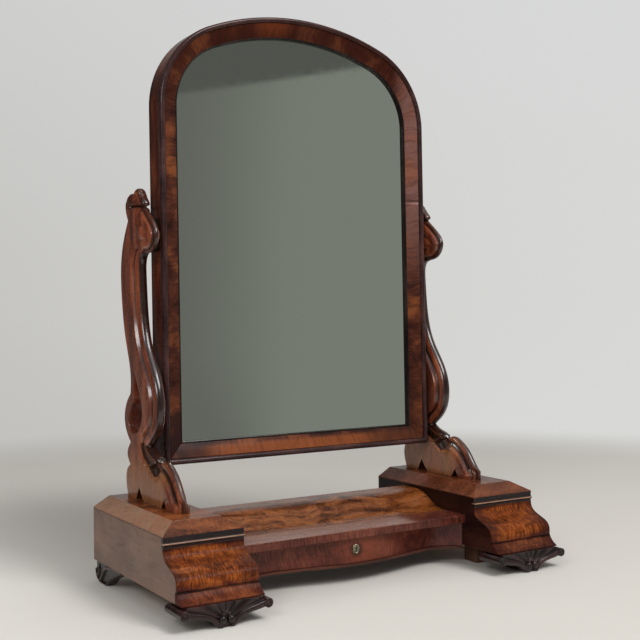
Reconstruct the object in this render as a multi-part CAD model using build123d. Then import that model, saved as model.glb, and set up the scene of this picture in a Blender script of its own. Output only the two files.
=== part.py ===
from build123d import *
import math
import os

# A Victorian mahogany swing toilet mirror with two pedestals and a serpentine drawer.
# Millimetres, +Z up, X along the width, the front towards -Y.
# The pieces are drawn from the pedestals' front plane (Y = 0) and then moved together
# so that the origin is at the middle of the object's box, on the floor.

os.makedirs("parts", exist_ok=True)

# ---- clearances and small fits -------------------------------------------------------
RUN_GAP = 0.3            # between bodies that move past each other
PIN_CLEARANCE = 0.05     # radial, pivot pin in its bush
SIDE_GAP = 1.0           # drawer to the pedestals on each side
OVERCUT = 1.0            # how far a cutting shape runs past what it cuts

# ---- pedestals -----------------------------------------------------------------------
PEDESTAL_WIDTH = 129.4
BAY_WIDTH = 441.2        # clear width between the two pedestals
PEDESTAL_DEPTH = 283.0   # from the front plane to the back
FOOT_HEIGHT = 34.0
CASE_HEIGHT = 85.0
LID_HEIGHT = 17.0
LID_SIDE_SLOPE = 27.0    # how far the lid's chamfer runs in from each side
LID_FRONT_SLOPE = 26.5
LID_ARRIS = 1.2          # upright edge under the lid's chamfer
CASE_BOARD = 12.0
CASE_BOTTOM_BOARD = 8.0
FRONT_FACING = 3.0       # facing that covers the front ends of the side boards
OGEE_BLOCK_BACK = 12.0   # the moulded block's flat back, behind the front plane
FASCIA_HEIGHT = 16.0
FASCIA_THICKNESS = 6.0
FASCIA_BEAD_RADIUS = 2.6
FASCIA_BEAD_DROP = 10.5  # bead's centre below the lid
OGEE_REACH = 46.5        # the ogee's belly stands this far in front
OGEE_TURN_REACH = 25.0   # where the hollow turns into the belly
OGEE_TURN_DROP = 40.0
OGEE_TURN_SLOPE = 0.42   # fall over reach where the hollow turns
OGEE_BELLY_DROP = 61.0
BASE_DROP = 68.5         # top of the base splay below the lid
BASE_REACH = 63.0        # the splay's foot stands this far in front
BASE_BACK_REACH = 40.0   # the splay strip's flat back
BASE_HOLLOW = 2.0        # how far the splay is hollowed
BASE_TOP_STEP = 0.5      # the splay's top stands this far before the ogee
BASE_TOE = 1.5           # upright edge at the splay's foot

# ---- feet ----------------------------------------------------------------------------
BRACKET_FRONT_REACH = 74.0   # carved bracket's front, in front of the front plane
BRACKET_DEPTH = 54.0
BRACKET_ARM = 8.0            # the carved V arms' height at the toe
BRACKET_TOE_WIDTH = 26.0     # flat that rests on the floor
BRACKET_ROLL_RADIUS = 7.0
BRACKET_ROLL_TOP_DROP = 2.2  # roll's top below the case, so that the drawer passes over it
BRACKET_ROLL_OUT = 0.5       # roll's centre outside the pedestal's side
BRACKET_SHOULDER = 6.0       # the arm's top runs to this far inside the roll's centre
BRACKET_SAG_AT = 17.7        # the arm's lower edge sags this far inside the roll's centre
BRACKET_SAG = 3.5
BRACKET_TURN = 11.0          # and turns down this far outside the toe
BRACKET_TURN_SLOPE = 0.9
BRACKET_HEEL = 2.0           # the arm's end stops this far above the roll's underside
BRACKET_WEB_END = 22.0       # the web's top ends this far inside the roll's centre
BRACKET_WEB_BACK = 5.0       # the fan-carved web lies this far behind the arms
BOSS_RADIUS = 6.0
BOSS_SPACING = 13.0
BOSS_HEIGHT = 10.5
BOSS_ROOT = 2.0              # bosses start this far behind the web's face
BOSS_STANDS = 2.0            # and stand this far in front of the arms
BLOCK_FOOT_WIDTH = 22.0
BLOCK_FOOT_DEPTH = 34.0
BLOCK_FOOT_INSET = 27.0      # from the pedestal's inner side
BLOCK_FOOT_FRONT = 25.0      # behind the front plane
SCROLL_FOOT_LENGTH = 112.0
SCROLL_FOOT_THICKNESS = 18.0
SCROLL_SET_IN = 1.0          # from the pedestal's outer side
SCROLL_BACK_SET_IN = 2.0     # from the pedestal's back
SCROLL_HEEL = ((9.0, 3.5), (24.0, 0.0))                   # behind the heel and height, round to the floor
SCROLL_HEEL_HEIGHT = 17.0
SCROLL_TOE = ((44.0, 0.0), (58.0, 8.0), (80.0, 19.0))     # then up along the toe
SCROLL_TOE_SLOPE = 0.2
SCROLL_TOE_EDGE = 3.0        # thickness of the toe's end
SCROLL_EYE_RADIUS = 4.5
SCROLL_EYE_AT = (17.0, 16.0) # in from the heel, and height
SCROLL_EYE_DEPTH = 4.0

# ---- platform between the pedestals ----------------------------------------------------
PLATFORM_TOP_DROP = 5.0      # below the lid's lower edge
PLATFORM_BACK = 200.0
PLATFORM_FLAT_FRONT = 166.0
PLATFORM_STEP_FRONT = 78.0   # foot of the platform's ogee
PLATFORM_BOARD = 17.0
PLATFORM_TURN_SLOPE = 0.62   # fall over run where its ogee turns
PLATFORM_TAIL_GAP = 1.0      # the ogee's foot stops this far above the rail's underside
PLATFORM_TAIL = 26.0         # width of that foot
PLATFORM_HAUNCH = 20.0       # the underside starts to fall this far in front of the flat
LEDGE_DROP = 32.0            # ledge in front of the ogee
LEDGE_FRONT = 24.0
RAIL_DROP = 45.5             # underside of the front rail
RAIL_NOSE_RADIUS = 2.0
PLATFORM_BOTTOM_BOARD = 4.0
DRAWER_OPENING_DROP = 87.0   # top of the bottom board
PLATFORM_BACK_BOARD = 12.0
LIP_REACH = 5.0              # the bottom board's lip in front of the drawer

# ---- drawer ----------------------------------------------------------------------------
SERPENTINE_CENTRE = 31.0     # drawer front's distance behind the front plane, at mid-width
SERPENTINE_HOLLOW = 53.0     # at the hollows
SERPENTINE_HOLLOW_AT = 145.0
SERPENTINE_END = 31.0        # at the ends
SERPENTINE_END_SLOPE = 1.0
DRAWER_FRONT_THICKNESS = 18.0
DRAWER_TOP_GAP = 0.9
DRAWER_SIDE_BOARD = 8.0
DRAWER_SIDE_HEIGHT = 34.0
DRAWER_BACK_BOARD = 8.0
DRAWER_BOTTOM_BOARD = 4.0
DRAWER_BOTTOM_RISE = 3.0     # drawer bottom above the sides' lower edges
DRAWER_GROOVE = 3.0
DRAWER_BACK_GAP = 4.0        # drawer's back to the platform's back board
DRAWER_BACK_DROP = 3.0       # the drawer's back is this much lower than its sides
GUIDE_HEIGHT = 9.0
GUIDE_WIDTH = 8.0
GUIDE_FRONT = 76.0
STOP_WIDTH = 26.0
STOP_DEPTH = 14.0
STOP_HEIGHT = 3.0
STOP_AT = 110.0              # stops' distance from the middle
LOCK_WIDTH = 40.0
LOCK_HEIGHT = 26.0
LOCK_DEPTH = 8.0
LOCK_WALL = 1.5
BOLT_WIDTH = 14.0
BOLT_DEPTH = 3.0
BOLT_HEIGHT = 18.0
BOLT_TRAVEL = 5.0
BOLT_CLEARANCE = 0.4
MORTISE_MARGIN = 2.0         # room round the bolt in the rail
KEYHOLE_RADIUS = 2.0
KEYHOLE_DROP = 17.0          # keyhole's centre below the drawer front's top
KEYHOLE_SLOT_WIDTH = 1.8
KEYHOLE_SLOT_LENGTH = 5.5
ESCUTCHEON_HEIGHT = 17.0
ESCUTCHEON_WIDTH = 14.0
ESCUTCHEON_THICKNESS = 1.2
ESCUTCHEON_LET_IN = 0.5
ESCUTCHEON_DROP = 1.5        # its middle below the keyhole's centre
LOCK_SCREW_RADIUS = 1.5
LOCK_SCREW_LENGTH = 12.0
LOCK_SCREW_INSET = 5.0       # from the lock's edges

# ---- mirror ----------------------------------------------------------------------------
MIRROR_SIDE_GAP = 8.1        # between the frame and each support
MIRROR_RISE = 55.3           # the frame's underside above the lids
MIRROR_HEIGHT = 755.7
MIRROR_FRONT = 190.0         # frame's front plane at the pivot's height
MIRROR_DEPTH = 48.0
SHOULDER_RADIUS = 148.0
CROWN_RADIUS = 455.0
BEAD_WIDTH = 9.0
BEAD_DEPTH = 11.0
BAND_FRONT = 4.5             # veneered band's outer edge behind the bead's face
BAND_BACK = 14.0             # and its inner edge
BAND_END = 32.4              # the band's inner edge, in from the frame's side
VENEER = 1.5
SIGHT_BEAD_WIDTH = 3.0
SIGHT_BEAD_CROWN = (2.1, 0.6)    # its rounded top passes here: inward, and back
SIGHT_BEAD_FALL = 2.5
SIGHT_BEAD_BACK = 20.0
GLASS_OVERLAP = 3.0          # the frame's own lip over the glass
GLASS_CLEARANCE = 0.6
GLASS_THICKNESS = 4.0
BACKBOARD_LAP = 9.4          # rebate that the backboard lies in
BACKBOARD_THICKNESS = 6.0
BACKBOARD_SET_IN = 1.5       # behind the frame's back
LEAN_DEGREES = 1.26
PIVOT_RISE = 428.0           # above the lids
PIVOT_PIN_RADIUS = 4.0
PIVOT_BUSH_WALL = 2.5
PIVOT_PIN_DEPTH = 12.0       # into the support, and as far into the frame
PIVOT_BUSH_FLOOR = 1.0
PIVOT_PLATE_HEIGHT = 54.0
PIVOT_PLATE_WIDTH = 24.0
PIVOT_PLATE_THICKNESS = 2.0
PIVOT_COLLAR_RADIUS = 9.0
PLATE_SCREW_RADIUS = 2.0
PLATE_SCREW_LENGTH = 16.0
BLOCK_ROWS = 3               # glazing blocks up each side, behind the glass
BLOCK_FIRST = 70.0           # the end ones from the corners
BLOCK_LENGTH = 30.0
BLOCK_WIDTH = 8.0
BLOCK_DEPTH = 12.0
BACK_SCREW_RADIUS = 1.8
BACK_SCREW_HEAD_RADIUS = 3.6
BACK_SCREW_LENGTH = 18.0
BACK_SCREW_EDGE = 4.7        # from the backboard's edge
BACK_SCREW_ROWS = 4
BACK_SCREW_FIRST = 60.0      # lowest ones above the backboard's corner
BACK_SCREW_LAST = 20.0       # highest ones below the arch's spring
BACK_SCREW_TURN = 20.0       # degrees either side of the crown

# ---- supports --------------------------------------------------------------------------
SUPPORT_THICKNESS = 26.0
NOSE_STANDS = 28.0           # the bead along the front stands this far before the flat faces
NOSE_STEPS = ((8.5, 9.0), (7.0, 2.5), (3.0, 0.0))  # the bead: half width, and how far back
SUPPORT_SCREW_RADIUS = 3.0
SUPPORT_SCREW_HEAD_RADIUS = 5.5
SUPPORT_SCREW_LENGTH = 42.0
SUPPORT_SCREW_AT = (92.0, 160.0, 242.0)
# The support's side view, downwards along its front and upwards along its back.
# Each point is its distance behind the pedestals' front plane and its height above the lid.
# The front's third and fourth numbers say how much of an inset moves the point back and down.
SUPPORT_FRONT = (
    ((224, 504, 0, 0), (204, 494, 0.3, 0.15), (191, 482, 0.3, 0), (206, 471, 0.3, 0)),
    ((206, 471, 0.3, 0), (183, 453, 0.7, 0), (164, 426, 0.7, 0), (175, 405, 0.7, 0), (206, 397, 0.3, 0)),
    ((206, 397, 0.3, 0), (216, 328, 0.5, 0), (200, 252, 1, 0), (167, 203, 1, 0), (151, 156, 1, 0),
     (162, 114, 1, 0), (190, 89, 0.7, 0)),
    ((190, 89, 0.7, 0), (176, 75, 0.7, 0), (161, 64, 0.7, 0)),
    ((161, 64, 0.7, 0), (166, 54, 0.7, 0)),
    ((166, 54, 0.7, 0), (144, 67, 0.3, 0.3), (116, 67, 0.3, 0.3), (94, 44, 0.7, 0), (77, 24, 0.7, 0),
     (60, 19, 0.7, 0)),
    ((60, 19, 0.7, 0), (60, 0, 0.7, 0)),
)
SUPPORT_BASE = ((106, 0), (115, 14), (125, 0), (196, 0), (214, 21), (226, 0), (263, 0))
SUPPORT_BACK = (
    (((263, 0), (271, 24), (267, 44), (253, 53)), ((0.3, 1), (-1, 0.6))),
    (((253, 53), (265, 70), (250, 90)), ((1, 0.4), (-0.8, 1))),
    (((250, 90), (267, 106), (275, 126), (266, 154), (249, 170)), ()),
    (((249, 170), (247, 190), (268, 257), (283, 319), (287, 362), (280, 409), (254, 453)),
     ((-0.3, 1), (-0.6, 0.8))),
    (((254, 453), (264, 476), (250, 498), (224, 504)), ((1, 1), (-1, 0))),
)
TEARDROP = ((233, 207), (239, 158), (258, 128), (235, 105), (206, 124), (204, 161))
TEARDROP_TIP = ((0.1, -1), (0.5, 1))   # directions in which its edge leaves and meets the tip

# ---- derived places --------------------------------------------------------------------
HALF_BAY = BAY_WIDTH / 2
HALF_WIDTH = HALF_BAY + PEDESTAL_WIDTH
PEDESTAL_MIDDLE = HALF_BAY + PEDESTAL_WIDTH / 2
LID_LOW = FOOT_HEIGHT + CASE_HEIGHT
LID_TOP = LID_LOW + LID_HEIGHT
PLATFORM_TOP = LID_LOW - PLATFORM_TOP_DROP
LEDGE_TOP = LID_LOW - LEDGE_DROP
RAIL_LOW = LID_LOW - RAIL_DROP
BAY_FLOOR = LID_LOW - DRAWER_OPENING_DROP
DRAWER_LOW = BAY_FLOOR + RUN_GAP
DRAWER_HIGH = RAIL_LOW - DRAWER_TOP_GAP
DRAWER_HALF = HALF_BAY - SIDE_GAP
DRAWER_BACK = PLATFORM_BACK - PLATFORM_BACK_BOARD - DRAWER_BACK_GAP
SUPPORT_MIDDLE = PEDESTAL_MIDDLE
SUPPORT_INNER = SUPPORT_MIDDLE - SUPPORT_THICKNESS / 2
MIRROR_HALF_WIDTH = SUPPORT_INNER - MIRROR_SIDE_GAP
MIRROR_BOTTOM = LID_TOP + MIRROR_RISE
MIRROR_TOP = MIRROR_BOTTOM + MIRROR_HEIGHT
PIVOT_HEIGHT = LID_TOP + PIVOT_RISE
BACKBOARD_FRONT = MIRROR_DEPTH - BACKBOARD_SET_IN - BACKBOARD_THICKNESS
PIVOT_Y = MIRROR_FRONT + MIRROR_DEPTH / 2
SPRING_HEIGHT = MIRROR_TOP - CROWN_RADIUS + math.sqrt(
    (CROWN_RADIUS - SHOULDER_RADIUS) ** 2 - (MIRROR_HALF_WIDTH - SHOULDER_RADIUS) ** 2)
CROWN_CENTRE = MIRROR_TOP - CROWN_RADIUS
SHOULDER_ANGLE = math.degrees(
    math.atan2(SPRING_HEIGHT - CROWN_CENTRE, MIRROR_HALF_WIDTH - SHOULDER_RADIUS))

solids = {}


def keep(name, shape):
    """Remember one finished piece under its node name."""
    solids[name] = shape


def box(x0, x1, y0, y1, z0, z1):
    """A board between two corners."""
    return Pos((x0 + x1) / 2, (y0 + y1) / 2, (z0 + z1) / 2) * Box(x1 - x0, y1 - y0, z1 - z0)


def both_sides(name, right_piece):
    """Keep a pedestal's or support's piece on the right and its mirror image on the left."""
    keep("right_" + name, right_piece)
    keep("left_" + name, mirror(right_piece, about=Plane.YZ))


def side_prism(face_yz, x0, x1):
    """Extrude a face drawn in the YZ plane from x0 to x1."""
    return Pos(x0, 0, 0) * extrude(face_yz, amount=x1 - x0, dir=(1, 0, 0))


def yz_face(*edges):
    """A face in the YZ plane from edges given in (y, z)."""
    return Plane.YZ * make_face(Sketch() + list(edges))


def rod(radius, start, end):
    """A round bar between two points."""
    start, end = Vector(*start), Vector(*end)
    along = end - start
    return extrude(Plane(origin=start, z_dir=along) * Circle(radius), amount=along.length)


def countersunk(shank_radius, head_radius, length, head_at, direction):
    """A wood screw: a cone head whose flat lies at head_at, and a shank."""
    plane = Plane(origin=head_at, z_dir=direction)
    cone_height = head_radius - shank_radius
    cone = plane * Pos(0, 0, cone_height / 2) * Cone(head_radius, shank_radius, cone_height)
    shank = plane * Pos(0, 0, length / 2) * Cylinder(shank_radius, length)
    return cone + shank


# ---- pedestals -------------------------------------------------------------------------
def ogee_curves(shift):
    """The pedestal front's outline: upright fascia, hollow, belly and groove; shift moves it back."""
    top = (shift, LID_LOW - FASCIA_HEIGHT)
    turn = (shift - OGEE_TURN_REACH, LID_LOW - OGEE_TURN_DROP)
    belly = (shift - OGEE_REACH, LID_LOW - OGEE_BELLY_DROP)
    hollow = Spline(top, turn, tangents=((0, -1), (-1, -OGEE_TURN_SLOPE)))
    round_over = Spline(turn, belly, tangents=((-1, -OGEE_TURN_SLOPE), (0, -1)))
    return [hollow, round_over]


def case_outline(shift, back):
    """The case seen from the side, with its front edge moved back by shift."""
    upper = (shift, LID_LOW - FASCIA_HEIGHT)
    belly = (shift - OGEE_REACH, LID_LOW - OGEE_BELLY_DROP)
    splay_seat = LID_LOW - BASE_DROP
    lines = Polyline(
        belly,
        (shift - OGEE_REACH, splay_seat),
        (-BASE_BACK_REACH, splay_seat),
        (-BASE_BACK_REACH, FOOT_HEIGHT),
        (back, FOOT_HEIGHT),
        (back, LID_LOW),
        (FASCIA_THICKNESS, LID_LOW),
        (FASCIA_THICKNESS, LID_LOW - FASCIA_HEIGHT),
        upper,
    )
    return yz_face(*ogee_curves(shift), lines)


def pedestal_lid():
    """The lid: a board chamfered at the front and both sides, square at the back."""
    low = LID_LOW + LID_ARRIS
    slope = loft([
        Pos(PEDESTAL_MIDDLE, PEDESTAL_DEPTH / 2, low) * Rectangle(PEDESTAL_WIDTH, PEDESTAL_DEPTH),
        Pos(PEDESTAL_MIDDLE, (PEDESTAL_DEPTH + LID_FRONT_SLOPE) / 2, LID_TOP)
        * Rectangle(PEDESTAL_WIDTH - 2 * LID_SIDE_SLOPE, PEDESTAL_DEPTH - LID_FRONT_SLOPE),
    ], ruled=True)
    return slope + box(HALF_BAY, HALF_WIDTH, 0, PEDESTAL_DEPTH, LID_LOW, low)


def fascia_moulding():
    """The strip under the lid's front edge, with a round bead along it."""
    strip = box(HALF_BAY, HALF_WIDTH, 0, FASCIA_THICKNESS, LID_LOW - FASCIA_HEIGHT, LID_LOW)
    bead = rod(FASCIA_BEAD_RADIUS,
               (HALF_BAY, 0, LID_LOW - FASCIA_BEAD_DROP), (HALF_WIDTH, 0, LID_LOW - FASCIA_BEAD_DROP))
    return strip + bead


def base_splay():
    """The hollowed strip at the foot of the pedestal's front."""
    top = (-OGEE_REACH - BASE_TOP_STEP, LID_LOW - BASE_DROP)
    toe = (-BASE_REACH, FOOT_HEIGHT + BASE_TOE)
    middle = (-(OGEE_REACH + BASE_REACH) / 2 + BASE_HOLLOW, (LID_LOW - BASE_DROP + FOOT_HEIGHT) / 2)
    curve = ThreePointArc(top, middle, toe)
    lines = Polyline(toe, (-BASE_REACH, FOOT_HEIGHT), (-BASE_BACK_REACH, FOOT_HEIGHT),
                     (-BASE_BACK_REACH, LID_LOW - BASE_DROP), top)
    return side_prism(yz_face(curve, lines), HALF_BAY, HALF_WIDTH)


def front_bracket_foot():
    """The carved front foot: two arms in a V with rolls at their ends, bosses at the toe."""
    front = -BRACKET_FRONT_REACH
    back = front + BRACKET_DEPTH
    roll_z = FOOT_HEIGHT - BRACKET_ROLL_TOP_DROP - BRACKET_ROLL_RADIUS
    roll_x = PEDESTAL_WIDTH / 2 + BRACKET_ROLL_OUT
    toe = BRACKET_TOE_WIDTH / 2
    arm_low = roll_z - BRACKET_ROLL_RADIUS + BRACKET_HEEL
    half_outline = [
        Polyline((0, FOOT_HEIGHT), (roll_x - BRACKET_SHOULDER, FOOT_HEIGHT), (roll_x, roll_z)),
        Line((roll_x, roll_z), (roll_x, arm_low)),
        Spline((roll_x, arm_low), (roll_x - BRACKET_SAG_AT, arm_low - BRACKET_SAG),
               (toe + BRACKET_TURN, arm_low / 2), (toe, 0), tangents=((-1, 0), (-1, -BRACKET_TURN_SLOPE))),
        Polyline((toe, 0), (0, 0), (0, FOOT_HEIGHT)),
    ]
    right_half = make_face(Sketch() + half_outline)
    outline = right_half + mirror(right_half, about=Plane.YZ)
    plane = Plane(origin=(PEDESTAL_MIDDLE, back, 0), x_dir=(1, 0, 0), z_dir=(0, -1, 0))
    foot = extrude(plane * outline, amount=BRACKET_DEPTH)
    web_end = roll_x - BRACKET_WEB_END
    web = Polyline((-web_end, FOOT_HEIGHT + OVERCUT), (-toe, BRACKET_ARM), (0, BOSS_HEIGHT),
                   (toe, BRACKET_ARM), (web_end, FOOT_HEIGHT + OVERCUT), close=True)
    web_plane = Plane(origin=(PEDESTAL_MIDDLE, front + BRACKET_WEB_BACK, 0), x_dir=(1, 0, 0),
                      z_dir=(0, -1, 0))
    foot -= extrude(web_plane * make_face(web), amount=BRACKET_WEB_BACK + OVERCUT)
    for side in (-1, 1):
        x = PEDESTAL_MIDDLE + side * roll_x
        foot += rod(BRACKET_ROLL_RADIUS, (x, back, roll_z), (x, front - BOSS_STANDS / 2, roll_z))
        x = PEDESTAL_MIDDLE + side * BOSS_SPACING / 2
        foot += rod(BOSS_RADIUS, (x, front + BRACKET_WEB_BACK + BOSS_ROOT, BOSS_HEIGHT),
                    (x, front - BOSS_STANDS, BOSS_HEIGHT))
    return foot


def block_foot(x_low, y_low):
    """A plain square block foot."""
    return box(x_low, x_low + BLOCK_FOOT_WIDTH, y_low, y_low + BLOCK_FOOT_DEPTH, 0, FOOT_HEIGHT)


def scroll_foot():
    """The back foot on the outer side: a scroll at the back and a slim toe forwards."""
    back = PEDESTAL_DEPTH - SCROLL_BACK_SET_IN
    front = back - SCROLL_FOOT_LENGTH
    heel = [(back - along, height) for along, height in SCROLL_HEEL]
    toe = [(back - along, height) for along, height in SCROLL_TOE]
    tip = (front, FOOT_HEIGHT - SCROLL_TOE_EDGE)
    outline = [
        Line((back, FOOT_HEIGHT), (back, SCROLL_HEEL_HEIGHT)),
        Spline([(back, SCROLL_HEEL_HEIGHT)] + heel, tangents=((0, -1), (-1, 0))),
        Line(heel[-1], toe[0]),
        Spline(toe + [tip], tangents=((-1, SCROLL_TOE_SLOPE), (-1, SCROLL_TOE_SLOPE))),
        Polyline(tip, (front, FOOT_HEIGHT), (back, FOOT_HEIGHT)),
    ]
    outer = HALF_WIDTH - SCROLL_SET_IN
    foot = side_prism(yz_face(*outline), outer - SCROLL_FOOT_THICKNESS, outer)
    along, height = SCROLL_EYE_AT
    eye = rod(SCROLL_EYE_RADIUS, (outer + OVERCUT, back - along, height),
              (outer - SCROLL_EYE_DEPTH, back - along, height))
    return foot - eye


def build_pedestals():
    """Everything in a pedestal, from its feet to its lid."""
    facing = side_prism(case_outline(0, FRONT_FACING), HALF_BAY, HALF_WIDTH)
    behind = side_prism(case_outline(FRONT_FACING, PEDESTAL_DEPTH), HALF_BAY, HALF_WIDTH)
    inner_strip = box(HALF_BAY, HALF_BAY + CASE_BOARD, -BASE_REACH, PEDESTAL_DEPTH, 0, LID_LOW)
    outer_strip = box(HALF_WIDTH - CASE_BOARD, HALF_WIDTH, -BASE_REACH, PEDESTAL_DEPTH, 0, LID_LOW)
    between = box(HALF_BAY + CASE_BOARD, HALF_WIDTH - CASE_BOARD, -BASE_REACH, OGEE_BLOCK_BACK, 0, LID_LOW)
    both_sides("inner_side", behind & inner_strip)
    both_sides("outer_side", behind & outer_strip)
    both_sides("ogee_front", (facing - behind) + (behind & between))
    both_sides("fascia_moulding", fascia_moulding())
    both_sides("base_splay", base_splay())
    both_sides("lid", pedestal_lid())
    inside_low, inside_high = HALF_BAY + CASE_BOARD, HALF_WIDTH - CASE_BOARD
    both_sides("case_back", box(inside_low, inside_high, PEDESTAL_DEPTH - CASE_BOARD, PEDESTAL_DEPTH,
                                FOOT_HEIGHT, LID_LOW))
    both_sides("case_bottom", box(inside_low, inside_high, OGEE_BLOCK_BACK, PEDESTAL_DEPTH - CASE_BOARD,
                                  FOOT_HEIGHT, FOOT_HEIGHT + CASE_BOTTOM_BOARD))
    both_sides("front_bracket_foot", front_bracket_foot())
    both_sides("scroll_foot", scroll_foot())
    block_x = HALF_BAY + BLOCK_FOOT_INSET
    front_block = block_foot(block_x, BLOCK_FOOT_FRONT)
    back_block = block_foot(block_x, PEDESTAL_DEPTH - BLOCK_FOOT_FRONT - BLOCK_FOOT_DEPTH)
    both_sides("block_feet", Compound([front_block, back_block]))


# ---- platform and drawer ---------------------------------------------------------------
def serpentine(shift, reach):
    """The drawer front's wavy line from -reach to reach, moved back by shift."""
    half = [(SERPENTINE_HOLLOW_AT, SERPENTINE_HOLLOW + shift), (reach, SERPENTINE_END + shift)]
    points = [(-x, y) for x, y in reversed(half)] + [(0, SERPENTINE_CENTRE + shift)] + half
    return Spline(points, tangents=((1, SERPENTINE_END_SLOPE), (1, -SERPENTINE_END_SLOPE)))


def behind_serpentine(shift, reach, back, z0, z1):
    """A slab between a serpentine front edge and a straight back edge."""
    edge = serpentine(shift, reach)
    rest = Polyline((reach, SERPENTINE_END + shift), (reach, back), (-reach, back),
                    (-reach, SERPENTINE_END + shift))
    return Pos(0, 0, z0) * extrude(make_face(Sketch() + [edge, rest]), amount=z1 - z0)


def platform_top():
    """The board between the pedestals, moulded to an ogee along its front."""
    step = PLATFORM_STEP_FRONT
    turn = ((PLATFORM_FLAT_FRONT + step) / 2, (PLATFORM_TOP + LEDGE_TOP) / 2)
    turning = (-1, -PLATFORM_TURN_SLOPE)
    upper = Spline((PLATFORM_FLAT_FRONT, PLATFORM_TOP), turn, tangents=((-1, 0), turning))
    lower = Spline(turn, (step, LEDGE_TOP), tangents=(turning, (-1, 0)))
    under = PLATFORM_TOP - PLATFORM_BOARD
    low = RAIL_LOW + PLATFORM_TAIL_GAP
    lines = Polyline(
        (step, LEDGE_TOP),
        (step, low),
        (step + PLATFORM_TAIL, low),
        (PLATFORM_FLAT_FRONT - PLATFORM_HAUNCH, under),
        (PLATFORM_BACK, under),
        (PLATFORM_BACK, PLATFORM_TOP),
        (PLATFORM_FLAT_FRONT, PLATFORM_TOP),
    )
    return side_prism(yz_face(upper, lower, lines), -HALF_BAY, HALF_BAY)


def lock_bolt_shape(margin, lift):
    """The lock's bolt, grown by margin all round and lifted."""
    back = SERPENTINE_CENTRE + DRAWER_FRONT_THICKNESS
    y_middle = back - LOCK_DEPTH / 2
    top = DRAWER_HIGH - RUN_GAP
    return box(-BOLT_WIDTH / 2 - margin, BOLT_WIDTH / 2 + margin,
               y_middle - BOLT_DEPTH / 2 - margin, y_middle + BOLT_DEPTH / 2 + margin,
               top - BOLT_HEIGHT - margin, top + lift + margin)


def front_rail():
    """The rail over the drawer, with the mortise that the lock's bolt enters."""
    rail = box(-HALF_BAY, HALF_BAY, LEDGE_FRONT, PLATFORM_STEP_FRONT, RAIL_LOW, LEDGE_TOP)
    nose_edges = rail.edges().filter_by(Axis.X).group_by(Axis.Y)[0]
    rail = fillet(nose_edges.sort_by(Axis.Z)[-1], RAIL_NOSE_RADIUS)
    return rail - lock_bolt_shape(MORTISE_MARGIN, BOLT_TRAVEL)


def build_platform():
    """The bridge between the pedestals, and what guides and stops the drawer."""
    keep("platform_top", platform_top())
    keep("platform_front_rail", front_rail())
    under = PLATFORM_TOP - PLATFORM_BOARD
    keep("platform_back", box(-HALF_BAY, HALF_BAY, PLATFORM_BACK - PLATFORM_BACK_BOARD, PLATFORM_BACK,
                              BAY_FLOOR, under))
    keep("platform_bottom", behind_serpentine(-LIP_REACH, HALF_BAY, PLATFORM_BACK,
                                              BAY_FLOOR - PLATFORM_BOTTOM_BOARD, BAY_FLOOR))
    guide = box(HALF_BAY - GUIDE_WIDTH, HALF_BAY, GUIDE_FRONT, PLATFORM_BACK - PLATFORM_BACK_BOARD,
                BAY_FLOOR, BAY_FLOOR + GUIDE_HEIGHT)
    both_sides("drawer_guide", guide)
    stop_front = SERPENTINE_HOLLOW + DRAWER_FRONT_THICKNESS + RUN_GAP
    stops = []
    for x in (-STOP_AT, STOP_AT):
        stops.append(box(x - STOP_WIDTH / 2, x + STOP_WIDTH / 2, stop_front, stop_front + STOP_DEPTH,
                         BAY_FLOOR, BAY_FLOOR + STOP_HEIGHT))
    keep("drawer_stops", Compound(stops))


def keyhole(y0, y1, z):
    """A keyhole's round and slot, cut from y0 to y1, with the round's centre at height z."""
    length = y1 - y0
    middle = (y0 + y1) / 2
    hole = Pos(0, middle, z) * Rot(90, 0, 0) * Cylinder(KEYHOLE_RADIUS, length)
    slot = box(-KEYHOLE_SLOT_WIDTH / 2, KEYHOLE_SLOT_WIDTH / 2, y0, y1, z - KEYHOLE_SLOT_LENGTH, z)
    return hole + slot


def drawer_front_block():
    """The drawer's serpentine front, the same thickness all along."""
    block = behind_serpentine(0, DRAWER_HALF, PLATFORM_BACK, DRAWER_LOW, DRAWER_HIGH)
    return block - behind_drawer_front()


def behind_drawer_front():
    """All the space behind the drawer front's back face."""
    return behind_serpentine(DRAWER_FRONT_THICKNESS, HALF_BAY, PLATFORM_BACK + OVERCUT,
                             BAY_FLOOR - OVERCUT, LEDGE_TOP)


def lock_screws(face_y):
    """The four screws at the lock's corners, their heads flush with its back face."""
    screws = []
    for side in (-1, 1):
        for z in (DRAWER_HIGH - LOCK_SCREW_INSET, DRAWER_HIGH - LOCK_HEIGHT + LOCK_SCREW_INSET):
            x = side * (LOCK_WIDTH / 2 - LOCK_SCREW_INSET)
            screws.append(countersunk(LOCK_SCREW_RADIUS, 2 * LOCK_SCREW_RADIUS, LOCK_SCREW_LENGTH,
                                      (x, face_y, z), (0, -1, 0)))
    return Compound(screws)


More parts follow.
